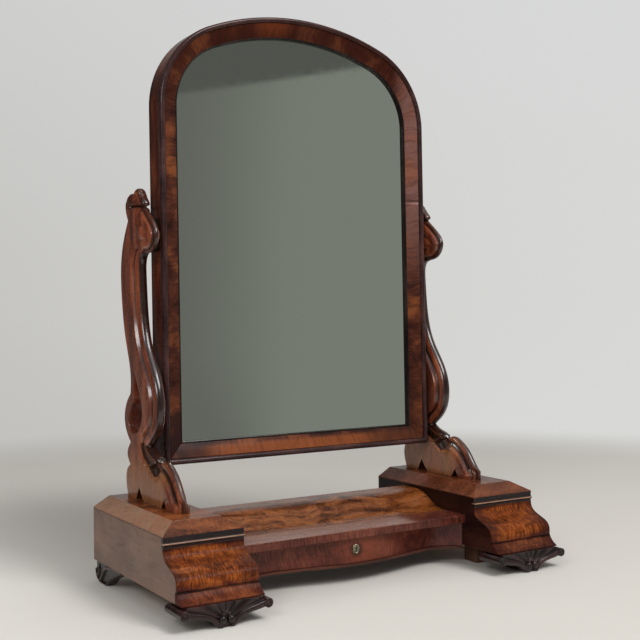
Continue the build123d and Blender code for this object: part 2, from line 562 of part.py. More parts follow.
def build_drawer():
    """The drawer: serpentine front, oak-lined box, and its lock."""
    side_outer = HALF_BAY - GUIDE_WIDTH - 2 * RUN_GAP
    side_inner = side_outer - DRAWER_SIDE_BOARD
    side_low = DRAWER_LOW + RUN_GAP
    side_high = side_low + DRAWER_SIDE_HEIGHT
    bottom_low = side_low + DRAWER_BOTTOM_RISE
    bottom_high = bottom_low + DRAWER_BOTTOM_BOARD
    side = box(side_inner, side_outer, SERPENTINE_CENTRE, DRAWER_BACK, side_low, side_high)
    groove_end = side_inner + DRAWER_GROOVE
    bottom = behind_serpentine(DRAWER_FRONT_THICKNESS - DRAWER_GROOVE, DRAWER_HALF, DRAWER_BACK,
                               bottom_low, bottom_high)
    bottom &= box(-groove_end, groove_end, 0, DRAWER_BACK, bottom_low, bottom_high)
    back = box(-side_inner, side_inner, DRAWER_BACK - DRAWER_BACK_BOARD, DRAWER_BACK, bottom_high,
               side_high - DRAWER_BACK_DROP)
    lock_back = SERPENTINE_CENTRE + DRAWER_FRONT_THICKNESS
    lock_body = box(-LOCK_WIDTH / 2, LOCK_WIDTH / 2, lock_back - LOCK_DEPTH, lock_back,
                    DRAWER_HIGH - LOCK_HEIGHT, DRAWER_HIGH)
    key_z = DRAWER_HIGH - KEYHOLE_DROP
    key_cut = keyhole(SERPENTINE_CENTRE - ESCUTCHEON_THICKNESS - OVERCUT, lock_back - LOCK_WALL, key_z)
    screws = lock_screws(lock_back)
    oval = Ellipse(ESCUTCHEON_WIDTH / 2, ESCUTCHEON_HEIGHT / 2)
    plane = Plane(origin=(0, SERPENTINE_CENTRE + ESCUTCHEON_LET_IN, key_z - ESCUTCHEON_DROP),
                  x_dir=(1, 0, 0), z_dir=(0, -1, 0))
    plate = extrude(plane * oval, amount=ESCUTCHEON_THICKNESS)
    keep("drawer_front", drawer_front_block() - lock_body - bottom - key_cut - screws - plate)
    both_sides("drawer_side", (side & behind_drawer_front()) - bottom)
    keep("drawer_bottom", bottom)
    keep("drawer_back", back)
    keep("lock_case", lock_body - lock_bolt_shape(BOLT_CLEARANCE, BOLT_TRAVEL) - key_cut - screws)
    keep("lock_bolt", lock_bolt_shape(0, 0))
    keep("lock_screws", screws)
    keep("escutcheon", plate - key_cut)


# ---- mirror ----------------------------------------------------------------------------
def half_space(origin, direction):
    """A large block on the side of a slanting plane that direction points to."""
    size = 4 * MIRROR_TOP
    return extrude(Plane(origin=origin, z_dir=direction) * Rectangle(size, size), amount=size)


def frame_members(section):
    """The frame's bottom, left, right and arched members from one section.

    The section is drawn with x inward from the frame's outer side and y backward from
    its front plane. Straight members are mitred at the two bottom corners; the arch is
    the section turned about the shoulders' and the crown's centres.
    """
    left, low = -MIRROR_HALF_WIDTH, MIRROR_BOTTOM
    upright = Plane(origin=(left, MIRROR_FRONT, low), x_dir=(1, 0, 0), z_dir=(0, 0, 1))
    stile = extrude(upright * section, amount=SPRING_HEIGHT - low)
    stile &= half_space((left, 0, low), (-1, 0, 1))
    flat = Plane(origin=(-left, MIRROR_FRONT, low), x_dir=(0, 0, 1), z_dir=(-1, 0, 0))
    rail = extrude(flat * section, amount=2 * MIRROR_HALF_WIDTH)
    rail &= half_space((left, 0, low), (1, 0, -1))
    rail &= half_space((-left, 0, low), (-1, 0, -1))
    spring = Plane(origin=(left, MIRROR_FRONT, SPRING_HEIGHT), x_dir=(1, 0, 0), z_dir=(0, 0, 1))
    shoulder_axis = Axis((left + SHOULDER_RADIUS, 0, SPRING_HEIGHT), (0, 1, 0))
    shoulder = revolve(spring * section, axis=shoulder_axis, revolution_arc=SHOULDER_ANGLE)
    crown_plane = Plane(origin=(-CROWN_RADIUS, MIRROR_FRONT, CROWN_CENTRE), x_dir=(1, 0, 0), z_dir=(0, 0, 1))
    crown_axis = Axis((0, 0, CROWN_CENTRE), (0, 1, 0))
    start = (crown_plane * section).rotate(crown_axis, SHOULDER_ANGLE)
    crown = revolve(start, axis=crown_axis, revolution_arc=2 * (90 - SHOULDER_ANGLE))
    arch = shoulder + crown + mirror(shoulder, about=Plane.YZ)
    return {"bottom": rail, "left": stile, "right": mirror(stile, about=Plane.YZ), "arch": arch}


def frame_panel(inset, front, thickness):
    """A flat panel with the frame's outline drawn in by inset."""
    half = MIRROR_HALF_WIDTH - inset
    low = MIRROR_BOTTOM + inset
    crown = CROWN_RADIUS - inset
    shoulder = SHOULDER_RADIUS - inset
    angle = math.radians(SHOULDER_ANGLE)
    join = (crown * math.cos(angle), CROWN_CENTRE + crown * math.sin(angle))
    centre_x = MIRROR_HALF_WIDTH - SHOULDER_RADIUS
    middle = (centre_x + shoulder * math.cos(angle / 2), SPRING_HEIGHT + shoulder * math.sin(angle / 2))
    edges = [
        Polyline((-half, SPRING_HEIGHT), (-half, low), (half, low), (half, SPRING_HEIGHT)),
        ThreePointArc((half, SPRING_HEIGHT), middle, join),
        ThreePointArc(join, (0, CROWN_CENTRE + crown), (-join[0], join[1])),
        ThreePointArc((-join[0], join[1]), (-middle[0], middle[1]), (-half, SPRING_HEIGHT)),
    ]
    plane = Plane(origin=(0, MIRROR_FRONT + front, 0), x_dir=(1, 0, 0), z_dir=(0, -1, 0))
    return extrude(plane * make_face(Sketch() + edges), amount=-thickness)


def ground_section():
    """The frame's core: a seat for the bead and the veneer, and rebates for glass and back."""
    lip = BAND_END - GLASS_OVERLAP
    return make_face(Polyline(
        (0, BEAD_DEPTH),
        (BEAD_WIDTH, BEAD_DEPTH),
        (BEAD_WIDTH, BAND_FRONT + VENEER),
        (BAND_END, BAND_BACK + VENEER),
        (BAND_END, SIGHT_BEAD_BACK),
        (lip, SIGHT_BEAD_BACK),
        (lip, BACKBOARD_FRONT),
        (lip - BACKBOARD_LAP, BACKBOARD_FRONT),
        (lip - BACKBOARD_LAP, MIRROR_DEPTH),
        (0, MIRROR_DEPTH),
        close=True,
    ))


def bead_section():
    """The outer moulding: rounded at the front, flat where it is glued."""
    round_at = BEAD_WIDTH / 2
    arc = ThreePointArc((0, round_at), (round_at, 0), (BEAD_WIDTH, round_at))
    lines = Polyline((BEAD_WIDTH, round_at), (BEAD_WIDTH, BEAD_DEPTH), (0, BEAD_DEPTH), (0, round_at))
    return make_face(Sketch() + [arc, lines])


def band_section():
    """The cross-banded veneer that slopes in towards the glass."""
    return make_face(Polyline(
        (BEAD_WIDTH, BAND_FRONT),
        (BAND_END, BAND_BACK),
        (BAND_END, BAND_BACK + VENEER),
        (BEAD_WIDTH, BAND_FRONT + VENEER),
        close=True,
    ))


def sight_bead_section():
    """The small bead beside the glass."""
    inner = BAND_END + SIGHT_BEAD_WIDTH
    along, back = SIGHT_BEAD_CROWN
    arc = ThreePointArc((BAND_END, BAND_BACK), (BAND_END + along, BAND_BACK + back),
                        (inner, BAND_BACK + SIGHT_BEAD_FALL))
    lines = Polyline((inner, BAND_BACK + SIGHT_BEAD_FALL), (inner, SIGHT_BEAD_BACK),
                     (BAND_END, SIGHT_BEAD_BACK), (BAND_END, BAND_BACK))
    return make_face(Sketch() + [arc, lines])


def leaned(shape):
    """Lean a mirror piece back about the pivot's axis."""
    return shape.rotate(Axis((0, PIVOT_Y, PIVOT_HEIGHT), (1, 0, 0)), -LEAN_DEGREES)


def pivot_hardware():
    """The right-hand pivot: plate and its screws, pin with collar, and the bush in the support."""
    side = MIRROR_HALF_WIDTH
    plate = box(side, side + PIVOT_PLATE_THICKNESS, PIVOT_Y - PIVOT_PLATE_WIDTH / 2,
                PIVOT_Y + PIVOT_PLATE_WIDTH / 2, PIVOT_HEIGHT - PIVOT_PLATE_HEIGHT / 2,
                PIVOT_HEIGHT + PIVOT_PLATE_HEIGHT / 2)
    pin_end = SUPPORT_INNER + PIVOT_PIN_DEPTH
    pin = rod(PIVOT_PIN_RADIUS, (side - PIVOT_PIN_DEPTH, PIVOT_Y, PIVOT_HEIGHT),
              (pin_end, PIVOT_Y, PIVOT_HEIGHT))
    collar = rod(PIVOT_COLLAR_RADIUS, (side + PIVOT_PLATE_THICKNESS, PIVOT_Y, PIVOT_HEIGHT),
                 (SUPPORT_INNER - RUN_GAP, PIVOT_Y, PIVOT_HEIGHT))
    bush_inner = PIVOT_PIN_RADIUS + PIN_CLEARANCE
    bush_end = pin_end + RUN_GAP + PIVOT_BUSH_FLOOR
    bush = rod(bush_inner + PIVOT_BUSH_WALL, (SUPPORT_INNER, PIVOT_Y, PIVOT_HEIGHT),
               (bush_end, PIVOT_Y, PIVOT_HEIGHT))
    bush -= rod(bush_inner, (SUPPORT_INNER - OVERCUT, PIVOT_Y, PIVOT_HEIGHT),
                (pin_end + RUN_GAP, PIVOT_Y, PIVOT_HEIGHT))
    screws = []
    for z in (-PIVOT_PLATE_HEIGHT / 3, PIVOT_PLATE_HEIGHT / 3):
        screws.append(countersunk(PLATE_SCREW_RADIUS, 2 * PLATE_SCREW_RADIUS, PLATE_SCREW_LENGTH,
                                  (side + PIVOT_PLATE_THICKNESS, PIVOT_Y, PIVOT_HEIGHT + z), (-1, 0, 0)))
    return plate, pin + collar, bush, Compound(screws)


def back_screw_places():
    """Where the backboard's screws go: x and z, spaced round its edge."""
    edge = BAND_END - GLASS_OVERLAP - BACKBOARD_LAP + BACK_SCREW_EDGE
    half = MIRROR_HALF_WIDTH - edge
    low = MIRROR_BOTTOM + edge
    lowest = low + BACK_SCREW_FIRST
    spacing = (SPRING_HEIGHT - BACK_SCREW_LAST - lowest) / (BACK_SCREW_ROWS - 1)
    places = []
    for row in range(BACK_SCREW_ROWS):
        places += [(-half, lowest + row * spacing), (half, lowest + row * spacing)]
    places += [(-half / 2, low), (half / 2, low)]
    for turn in (-BACK_SCREW_TURN, BACK_SCREW_TURN):
        angle = math.radians(90 + turn)
        reach = CROWN_RADIUS - edge
        places.append((reach * math.cos(angle), CROWN_CENTRE + reach * math.sin(angle)))
    return places


def glazing_blocks():
    """Small blocks glued in the rebate that hold the glass forward."""
    wall = BAND_END - GLASS_OVERLAP
    front = MIRROR_FRONT + SIGHT_BEAD_BACK + GLASS_THICKNESS
    half = MIRROR_HALF_WIDTH - wall
    low = MIRROR_BOTTOM + wall
    spacing = (SPRING_HEIGHT - low - 2 * BLOCK_FIRST) / (BLOCK_ROWS - 1)
    blocks = []
    for row in range(BLOCK_ROWS):
        z = low + BLOCK_FIRST + row * spacing
        for side in (-1, 1):
            x0, x1 = sorted((side * half, side * (half - BLOCK_WIDTH)))
            blocks.append(box(x0, x1, front, front + BLOCK_DEPTH,
                              z - BLOCK_LENGTH / 2, z + BLOCK_LENGTH / 2))
    for x in (-half / 2, half / 2):
        blocks.append(box(x - BLOCK_LENGTH / 2, x + BLOCK_LENGTH / 2, front, front + BLOCK_DEPTH,
                          low, low + BLOCK_WIDTH))
    return Compound(blocks)


def build_mirror():
    """The mirror: four framed members with bead, veneer and sight bead, glass and backboard."""
    plate, pin, bush, screws = pivot_hardware()
    plates = Compound([plate, mirror(plate, about=Plane.YZ)])
    plate_screws = Compound([screws, mirror(screws, about=Plane.YZ)])
    pins = Compound([pin, mirror(pin, about=Plane.YZ)])
    back_screws = []
    back_face = MIRROR_FRONT + BACKBOARD_FRONT + BACKBOARD_THICKNESS
    for x, z in back_screw_places():
        back_screws.append(countersunk(BACK_SCREW_RADIUS, BACK_SCREW_HEAD_RADIUS, BACK_SCREW_LENGTH,
                                       (x, back_face, z), (0, -1, 0)))
    back_screws = Compound(back_screws)
    drilled = [pins, plate_screws, back_screws]
    names = {"bottom": "mirror_bottom_rail", "left": "mirror_left_stile",
             "right": "mirror_right_stile", "arch": "mirror_arch"}
    for place, member in frame_members(ground_section()).items():
        for fastener in drilled:
            member -= fastener
        keep(names[place], leaned(member))
    keep("mirror_outer_bead", leaned(Compound(list(frame_members(bead_section()).values()))))
    keep("mirror_veneer_band", leaned(Compound(list(frame_members(band_section()).values()))))
    keep("mirror_sight_bead", leaned(Compound(list(frame_members(sight_bead_section()).values()))))
    rebate = BAND_END - GLASS_OVERLAP
    glass = frame_panel(rebate + GLASS_CLEARANCE, SIGHT_BEAD_BACK, GLASS_THICKNESS)
    keep("mirror_glass", leaned(glass))
    backboard = frame_panel(rebate - BACKBOARD_LAP + GLASS_CLEARANCE, BACKBOARD_FRONT, BACKBOARD_THICKNESS)
    keep("mirror_backboard", leaned(backboard - back_screws))
    keep("glazing_blocks", leaned(glazing_blocks()))
    keep("backboard_screws", leaned(back_screws))
    keep("pivot_plates", leaned(plates - pins - plate_screws))
    keep("pivot_plate_screws", leaned(plate_screws))
    keep("right_pivot_pin", leaned(pin))
    keep("left_pivot_pin", leaned(mirror(pin, about=Plane.YZ)))
    both_sides("pivot_bush", bush)


# ---- supports --------------------------------------------------------------------------
def support_front_stretch(points, inset):
    """One stretch of the support's moulded front, moved back by inset."""
    places = []
    for y, rise, back, down in points:
        places.append((y + back * inset, LID_TOP + rise - down * inset))
    return Spline(places) if len(places) > 2 else Line(*places)


def support_outline(inset):
    """A support's side view; inset draws the moulded front edge back towards the flat face.

    Every stretch of the front runs between the same kinds of corner whatever the inset,
    so that two outlines can be joined by a slope.
    """
    edges = [support_front_stretch(points, inset) for points in SUPPORT_FRONT]
    y, rise, back, down = SUPPORT_FRONT[-1][-1]
    base = [(y + back * inset, LID_TOP + rise)] + [(y, LID_TOP + rise) for y, rise in SUPPORT_BASE]
    edges.append(Polyline(base))
    for points, tangents in SUPPORT_BACK:
        edges.append(Spline([(y, LID_TOP + rise) for y, rise in points], tangents=tangents or None))
    return Plane.YZ * make_face(Sketch() + edges)


def teardrop():
    """The teardrop opening low in the support."""
    points = [(y, LID_TOP + rise) for y, rise in TEARDROP]
    return Plane.YZ * make_face(Sketch() + [Spline(points + points[:1], tangents=TEARDROP_TIP)])


def support_board():
    """One support, at the right: the board, the bead along its front, and the teardrop."""
    half = SUPPORT_THICKNESS / 2
    steps = [(half, NOSE_STANDS)] + list(NOSE_STEPS)
    narrow, least = steps[-1]
    whole = Pos(SUPPORT_MIDDLE - half, 0, 0) * extrude(support_outline(NOSE_STANDS), amount=2 * half,
                                                       dir=(1, 0, 0))
    whole += Pos(SUPPORT_MIDDLE - narrow, 0, 0) * extrude(support_outline(least), amount=2 * narrow,
                                                          dir=(1, 0, 0))
    for (wide, back), (slim, ahead) in zip(steps, steps[1:]):
        slope = loft([Pos(SUPPORT_MIDDLE + wide, 0, 0) * support_outline(back),
                      Pos(SUPPORT_MIDDLE + slim, 0, 0) * support_outline(ahead)], ruled=True)
        whole += slope
        whole += mirror(slope, about=Plane.YZ.offset(SUPPORT_MIDDLE))
    hole = Pos(SUPPORT_MIDDLE - half - OVERCUT, 0, 0) * extrude(
        teardrop(), amount=2 * half + 2 * OVERCUT, dir=(1, 0, 0))
    return whole - hole


def support_screws():
    """The screws up through the lid into the right support."""
    screws = []
    for y in SUPPORT_SCREW_AT:
        screws.append(countersunk(SUPPORT_SCREW_RADIUS, SUPPORT_SCREW_HEAD_RADIUS, SUPPORT_SCREW_LENGTH,
                                  (SUPPORT_MIDDLE, y, LID_LOW), (0, 0, 1)))
    return Compound(screws)


def build_supports():
    """The two carved supports, drilled for their bushes and screws, and the drilled lids."""
    screws = support_screws()
    bore = rod(PIVOT_PIN_RADIUS + PIN_CLEARANCE + PIVOT_BUSH_WALL,
               (SUPPORT_INNER - OVERCUT, PIVOT_Y, PIVOT_HEIGHT),
               (SUPPORT_INNER + PIVOT_PIN_DEPTH + RUN_GAP + PIVOT_BUSH_FLOOR, PIVOT_Y, PIVOT_HEIGHT))
    both_sides("support", support_board() - bore - screws)
    keep("support_screws", Compound([screws, mirror(screws, about=Plane.YZ)]))
    both_sides("lid", solids["right_lid"] - screws)


def depth_middle():
    """The middle of the whole object's depth."""
    boxes = [shape.bounding_box() for shape in solids.values()]
    return (min(b.min.Y for b in boxes) + max(b.max.Y for b in boxes)) / 2


build_pedestals()
build_platform()
build_drawer()
build_mirror()
build_supports()
middle_y = depth_middle()
for name, shape in solids.items():
    export_step(Pos(0, -middle_y, 0) * shape, "parts/" + name + ".step")
print(len(solids), "pieces; the front plane is", round(middle_y, 3), "mm in front of the origin")
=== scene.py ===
import math

import bmesh
import bpy
import numpy as np
from mathutils import Matrix, Vector


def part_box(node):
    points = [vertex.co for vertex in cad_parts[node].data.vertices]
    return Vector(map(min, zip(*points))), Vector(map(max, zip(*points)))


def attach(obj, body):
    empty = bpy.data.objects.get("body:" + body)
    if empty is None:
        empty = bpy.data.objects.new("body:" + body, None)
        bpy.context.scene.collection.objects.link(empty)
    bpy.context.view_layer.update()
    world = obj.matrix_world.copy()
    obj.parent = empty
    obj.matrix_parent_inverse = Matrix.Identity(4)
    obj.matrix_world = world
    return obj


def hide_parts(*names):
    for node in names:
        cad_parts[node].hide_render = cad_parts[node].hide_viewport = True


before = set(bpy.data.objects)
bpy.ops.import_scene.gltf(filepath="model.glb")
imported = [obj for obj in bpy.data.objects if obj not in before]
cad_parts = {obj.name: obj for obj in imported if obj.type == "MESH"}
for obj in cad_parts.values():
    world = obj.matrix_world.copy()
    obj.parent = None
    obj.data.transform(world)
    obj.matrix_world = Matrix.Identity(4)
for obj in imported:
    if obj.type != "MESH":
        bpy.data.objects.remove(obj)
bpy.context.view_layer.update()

# Drawing sizes are in millimetres: y behind the pedestals' front plane, z above the floor.
MM = 0.001
FRONT_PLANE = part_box("right_lid")[0].y
LID_TOP = 136.0
SUPPORT_MIDDLE = 285.3
SUPPORT_HALF = 13.0
PEDESTAL_MIDDLE = 285.3
PIVOT_Y = 214.0
PIVOT_Z = 564.0
LEAN = math.radians(1.26)
FRAME_HALF = 264.2
FRAME_LOW = 191.3
FRAME_TOP = 947.0
FRAME_FRONT = 190.0
SHOULDER_RADIUS = 148.0
CROWN_RADIUS = 455.0
SHOULDER_X = FRAME_HALF - SHOULDER_RADIUS
CROWN_Z = FRAME_TOP - CROWN_RADIUS
SPRING_Z = CROWN_Z + math.sqrt((CROWN_RADIUS - SHOULDER_RADIUS) ** 2 - SHOULDER_X ** 2)
SHOULDER_TURN = math.atan2(SPRING_Z - CROWN_Z, SHOULDER_X)


# ---- small helpers ---------------------------------------------------------------------
def linear(red, green, blue):
    """An sRGB colour from 0 to 255 as the linear colour that shaders use."""
    c = np.array([red, green, blue]) / 255.0
    low = c / 12.92
    high = ((c + 0.055) / 1.055) ** 2.4
    return tuple(float(v) for v in np.where(c <= 0.04045, low, high)) + (1.0,)


def in_metres(points):
    """Drawing places in mm to the shared frame in metres: y moves back by the front plane."""
    points = np.asarray(points, float)
    return points * MM + np.array([0.0, FRONT_PLANE, 0.0])


def placed(x, y, z):
    """Drawing measures in mm, spread over each other's rows and columns, as places in metres."""
    return in_metres(np.stack(np.broadcast_arrays(x, y, z), axis=-1))


def run_along(line):
    """The run length at each place of a polyline."""
    return np.concatenate([[0.0], np.cumsum(np.linalg.norm(np.diff(line, axis=0), axis=1))])


def smooth_line(places, count):
    """A natural cubic spline through the places, taken at count even steps of chord length."""
    p = np.asarray(places, float)
    gaps = np.linalg.norm(np.diff(p, axis=0), axis=1)
    t = np.concatenate([[0.0], np.cumsum(gaps)])
    n = len(p)
    system = np.zeros((n, n))
    right = np.zeros((n, p.shape[1]))
    system[0, 0] = system[-1, -1] = 1.0
    inner = np.arange(1, n - 1)
    h0, h1 = gaps[inner - 1], gaps[inner]
    system[inner, inner - 1] = h0
    system[inner, inner] = 2 * (h0 + h1)
    system[inner, inner + 1] = h1
    right[inner] = 6 * ((p[inner + 1] - p[inner]) / h1[:, None] - (p[inner] - p[inner - 1]) / h0[:, None])
    bend = np.linalg.solve(system, right)
    at = np.linspace(0, t[-1], count)
    k = np.clip(np.searchsorted(t, at, side="right") - 1, 0, n - 2)
    h = gaps[k][:, None]
    a = (t[k + 1] - at)[:, None] / h
    b = (at - t[k])[:, None] / h
    return a * p[k] + b * p[k + 1] + ((a ** 3 - a) * bend[k] + (b ** 3 - b) * bend[k + 1]) * h ** 2 / 6


def along(line, steps):
    """Places at given fractions of a polyline's length."""
    line = np.asarray(line, float)
    run = run_along(line)
    at = np.asarray(steps) * run[-1]
    return np.stack([np.interp(at, run, line[:, i]) for i in range(line.shape[1])], axis=1)


def nearest(points, line):
    """Each point's distance to a polyline, and how far along the line its nearest place lies."""
    a, b = line[:-1], line[1:]
    ab = b - a
    length = np.linalg.norm(ab, axis=1)
    start = np.concatenate([[0.0], np.cumsum(length)])[:-1]
    shape = points.shape[:-1]
    flat = points.reshape(-1, 2)
    best, place = np.full(len(flat), 1e9), np.zeros(len(flat))
    for i in range(len(a)):
        t = np.clip(((flat - a[i]) @ ab[i]) / max(length[i] ** 2, 1e-12), 0, 1)
        d = np.hypot(flat[:, 0] - a[i, 0] - t * ab[i, 0], flat[:, 1] - a[i, 1] - t * ab[i, 1])
        closer = d < best
        best = np.where(closer, d, best)
        place = np.where(closer, start[i] + t * length[i], place)
    return best.reshape(shape), place.reshape(shape)


def grid_faces(rows, cols, around=False):
    """Quads between neighbouring rows and columns; around joins the last column to the first."""
    index = np.arange(rows * cols).reshape(rows, cols)
    if around:
        index = np.concatenate([index, index[:, :1]], axis=1)
    quads = np.stack([index[:-1, :-1], index[1:, :-1], index[1:, 1:], index[:-1, 1:]], axis=-1)
    return quads.reshape(-1, 4)


class Surface:
    """Gathers grids and caps of one piece, then makes its closed mesh."""

    def __init__(self):
        self.points, self.faces, self.uvs, self.count = [], [], [], 0

    def add(self, points, faces, uv=None):
        points = np.asarray(points, float).reshape(-1, 3)
        self.points.append(points)
        self.faces += (np.asarray(faces) + self.count).tolist()
        self.uvs.append(np.zeros((len(points), 2)) if uv is None else np.asarray(uv, float).reshape(-1, 2))
        self.count += len(points)

    def grid(self, points, uv=None, around=False):
        rows, cols = points.shape[:2]
        self.add(points, grid_faces(rows, cols, around), uv)

    def cap(self, points):
        self.add(points, np.arange(len(points)).reshape(1, -1))

    def make(self, name, body, slot, material, stands_for, merge=0.00001, sharp=35.0):
        mesh = bpy.data.meshes.new(name)
        mesh.from_pydata(np.concatenate(self.points).tolist(), [], self.faces)
        uv = np.concatenate(self.uvs)
        layer = mesh.uv_layers.new(name="along")
        corner = np.zeros(len(mesh.loops), np.int32)
        mesh.loops.foreach_get("vertex_index", corner)
        layer.data.foreach_set("uv", uv[corner].astype(np.float32).ravel())
        shell = bmesh.new()
        shell.from_mesh(mesh)
        bmesh.ops.remove_doubles(shell, verts=shell.verts, dist=merge)
        bmesh.ops.dissolve_degenerate(shell, edges=shell.edges, dist=merge)
        bmesh.ops.recalc_face_normals(shell, faces=shell.faces)
        shell.to_mesh(mesh)
        shell.free()
        mesh.polygons.foreach_set("use_smooth", np.ones(len(mesh.polygons), bool))
        mesh.set_sharp_from_angle(angle=math.radians(sharp))
        mesh.materials.append(material)
        piece = bpy.data.objects.new(name, mesh)
        bpy.context.scene.collection.objects.link(piece)
        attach(piece, body)
        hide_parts(*stands_for)


# ---- patterns shared by the finishes ----------------------------------------------------
def new_group(name, inputs, outputs):
    """An empty node group with its named sockets."""
    group = bpy.data.node_groups.new(name, "ShaderNodeTree")
    for label, kind, value in inputs:
        socket = group.interface.new_socket(name=label, in_out="INPUT", socket_type=kind)
        if value is not None:
            socket.default_value = value
    for label, kind in outputs:
        group.interface.new_socket(name=label, in_out="OUTPUT", socket_type=kind)
    return group, group.nodes.new("NodeGroupInput"), group.nodes.new("NodeGroupOutput")


def feed(tree, socket, value):
    """Sets a socket to a number, a colour or a place, or links another socket into it."""
    if isinstance(value, (int, float, tuple)):
        socket.default_value = value
    else:
        tree.links.new(value, socket)


def node(tree, kind, **settings):
    """One node with its settings; names starting with in_ feed the input of that name or number."""
    made = tree.nodes.new(kind)
    for key, value in settings.items():
        if key.startswith("in_"):
            label = key[3:].replace("_", " ")
            feed(tree, made.inputs[int(label) if label.isdigit() else label], value)
        else:
            setattr(made, key, value)
    return made


def maths(tree, operation, first, second=0.0):
    """A Math node on two sockets or numbers."""
    return node(tree, "ShaderNodeMath", operation=operation, in_0=first, in_1=second).outputs[0]


def times(tree, first, second):
    """The product of two sockets or numbers."""
    return maths(tree, "MULTIPLY", first, second)


def vector_maths(tree, operation, first, second=(0.0, 0.0, 0.0)):
    """A Vector Math node's outputs; the one called Value is a measure."""
    return node(tree, "ShaderNodeVectorMath", operation=operation, in_0=first, in_1=second).outputs


def parts(tree, vector):
    """The x, y and z of a vector."""
    split = node(tree, "ShaderNodeSeparateXYZ", in_0=vector).outputs
    return split["X"], split["Y"], split["Z"]


def remap(tree, value, low, high, to_low=0.0, to_high=1.0, smooth=True):
    """Value from low..high to to_low..to_high, clamped."""
    kind = "SMOOTHSTEP" if smooth else "LINEAR"
    return node(tree, "ShaderNodeMapRange", interpolation_type=kind, in_0=value, in_1=low, in_2=high,
                in_3=to_low, in_4=to_high).outputs[0]


def blend_colour(tree, amount, first, second):
    """Mixes two colours by the amount."""
    return node(tree, "ShaderNodeMix", data_type="RGBA", in_0=amount, in_6=first, in_7=second).outputs[2]


def toned(tree, amount, under, tone):
    """A colour with an sRGB tone mixed over it by the amount."""
    return blend_colour(tree, amount, under, linear(*tone))


def two_tones(tree, amount, first, second):
    """Mixes two sRGB tones by the amount."""
    return toned(tree, amount, linear(*first), second)


def noise(tree, vector, scale, detail, roughness):
    """A noise value on the given coordinates."""
    return node(tree, "ShaderNodeTexNoise", in_Vector=vector, in_Scale=scale, in_Detail=detail,
                in_Roughness=roughness).outputs["Fac"]


def wood_figure_group():
    """Mahogany figure on coordinates whose x runs along the grain.

    Patches are broad light and dark areas, curl is the fine cross figure at right angles to the grain,
    lines are long growth streaks and pores are short fine pits; all but the pores drift with a slow wave.
    """
    numbers = ("Patch Along", "Patch Across", "Curl Pitch", "Curl Length", "Line Along", "Line Across",
               "Wave")
    layers = ("Patches", "Curl", "Lines", "Pores")
    group, inside, out = new_group(
        "mahogany_figure",
        [("Vector", "NodeSocketVector", None)] + [(label, "NodeSocketFloat", None) for label in numbers],
        [(label, "NodeSocketFloat") for label in layers])
    base = inside.outputs["Vector"]
    drift = node(group, "ShaderNodeTexNoise", in_Vector=base, in_Scale=7.0, in_Detail=3.0, in_Roughness=0.55)
    centred = vector_maths(group, "SUBTRACT", drift.outputs["Color"], (0.5, 0.5, 0.5))[0]
    pushed = node(group, "ShaderNodeVectorMath", operation="SCALE", in_0=centred,
                  in_Scale=times(group, inside.outputs["Wave"], 0.1))
    bent = vector_maths(group, "ADD", base, pushed.outputs[0])[0]

    def layer(label, vector, along_grain, across_grain, detail, roughness):
        sizes = node(group, "ShaderNodeCombineXYZ", in_0=along_grain, in_1=across_grain, in_2=across_grain)
        spread = vector_maths(group, "MULTIPLY", vector, sizes.outputs[0])[0]
        feed(group, out.inputs[label], noise(group, spread, 1.0, detail, roughness))

    layer("Patches", bent, inside.outputs["Patch Along"], inside.outputs["Patch Across"], 3.0, 0.55)
    layer("Curl", bent, inside.outputs["Curl Pitch"], inside.outputs["Curl Length"], 2.0, 0.5)
    layer("Lines", bent, inside.outputs["Line Along"], inside.outputs["Line Across"], 3.0, 0.6)
    layer("Pores", base, 120.0, 1500.0, 2.0, 0.6)
    return group


EDGE_TURN = (0.985, 0.80)  # cosine of the turn at an edge, from unworn to fully worn
WEAR_BREAKS = (0.38, 0.62)


def edge_wear_group():
    """Edge wear: how much a widely bevelled normal leaves the true one, broken up by noise."""
    group, inside, out = new_group(
        "edge_wear",
        [("Vector", "NodeSocketVector", None), ("Width", "NodeSocketFloat", 0.001)],
        [("Wear", "NodeSocketFloat"), ("Edge", "NodeSocketFloat"), ("Rounded Normal", "NodeSocketVector")])
    wide = node(group, "ShaderNodeBevel", samples=6, in_Radius=inside.outputs["Width"]).outputs[0]
    plain = group.nodes.new("ShaderNodeNewGeometry").outputs["Normal"]
    edge = remap(group, vector_maths(group, "DOT_PRODUCT", wide, plain)["Value"], *EDGE_TURN)
    broken = remap(group, noise(group, inside.outputs["Vector"], 140.0, 4.0, 0.7), *WEAR_BREAKS)
    feed(group, out.inputs["Edge"], edge)
    feed(group, out.inputs["Wear"], times(group, edge, broken))
    feed(group, out.inputs["Rounded Normal"], wide)
    return group


WOOD_FIGURE = wood_figure_group()
EDGE_WEAR = edge_wear_group()


def new_material(name):
    """A material with its node tree and its Principled shader."""
    material = bpy.data.materials.new(name)
    material.use_nodes = True
    return material, material.node_tree, material.node_tree.nodes["Principled BSDF"]


def object_place(tree):
    """The Object coordinates."""
    return tree.nodes.new("ShaderNodeTexCoord").outputs["Object"]


def carved_map(tree):
    """The two numbers of the mesh's own map "along", where a carved piece keeps the painted shade of its
    hollows and the painted highlight of its crests.
    """
    return parts(tree, node(tree, "ShaderNodeUVMap", uv_map="along").outputs["UV"])[:2]


GRAIN_TURNS = {"x": (0, 0, 0), "y": (0, 0, math.radians(90)), "z": (0, math.radians(90), 0)}


def grain_coordinates(tree, source, grain, shift):
    """Coordinates turned so that x runs along the grain axis, and shifted for each piece."""
    return node(tree, "ShaderNodeMapping", vector_type="POINT", in_Vector=source, in_Location=shift,
                in_Rotation=GRAIN_TURNS[grain]).outputs["Vector"]


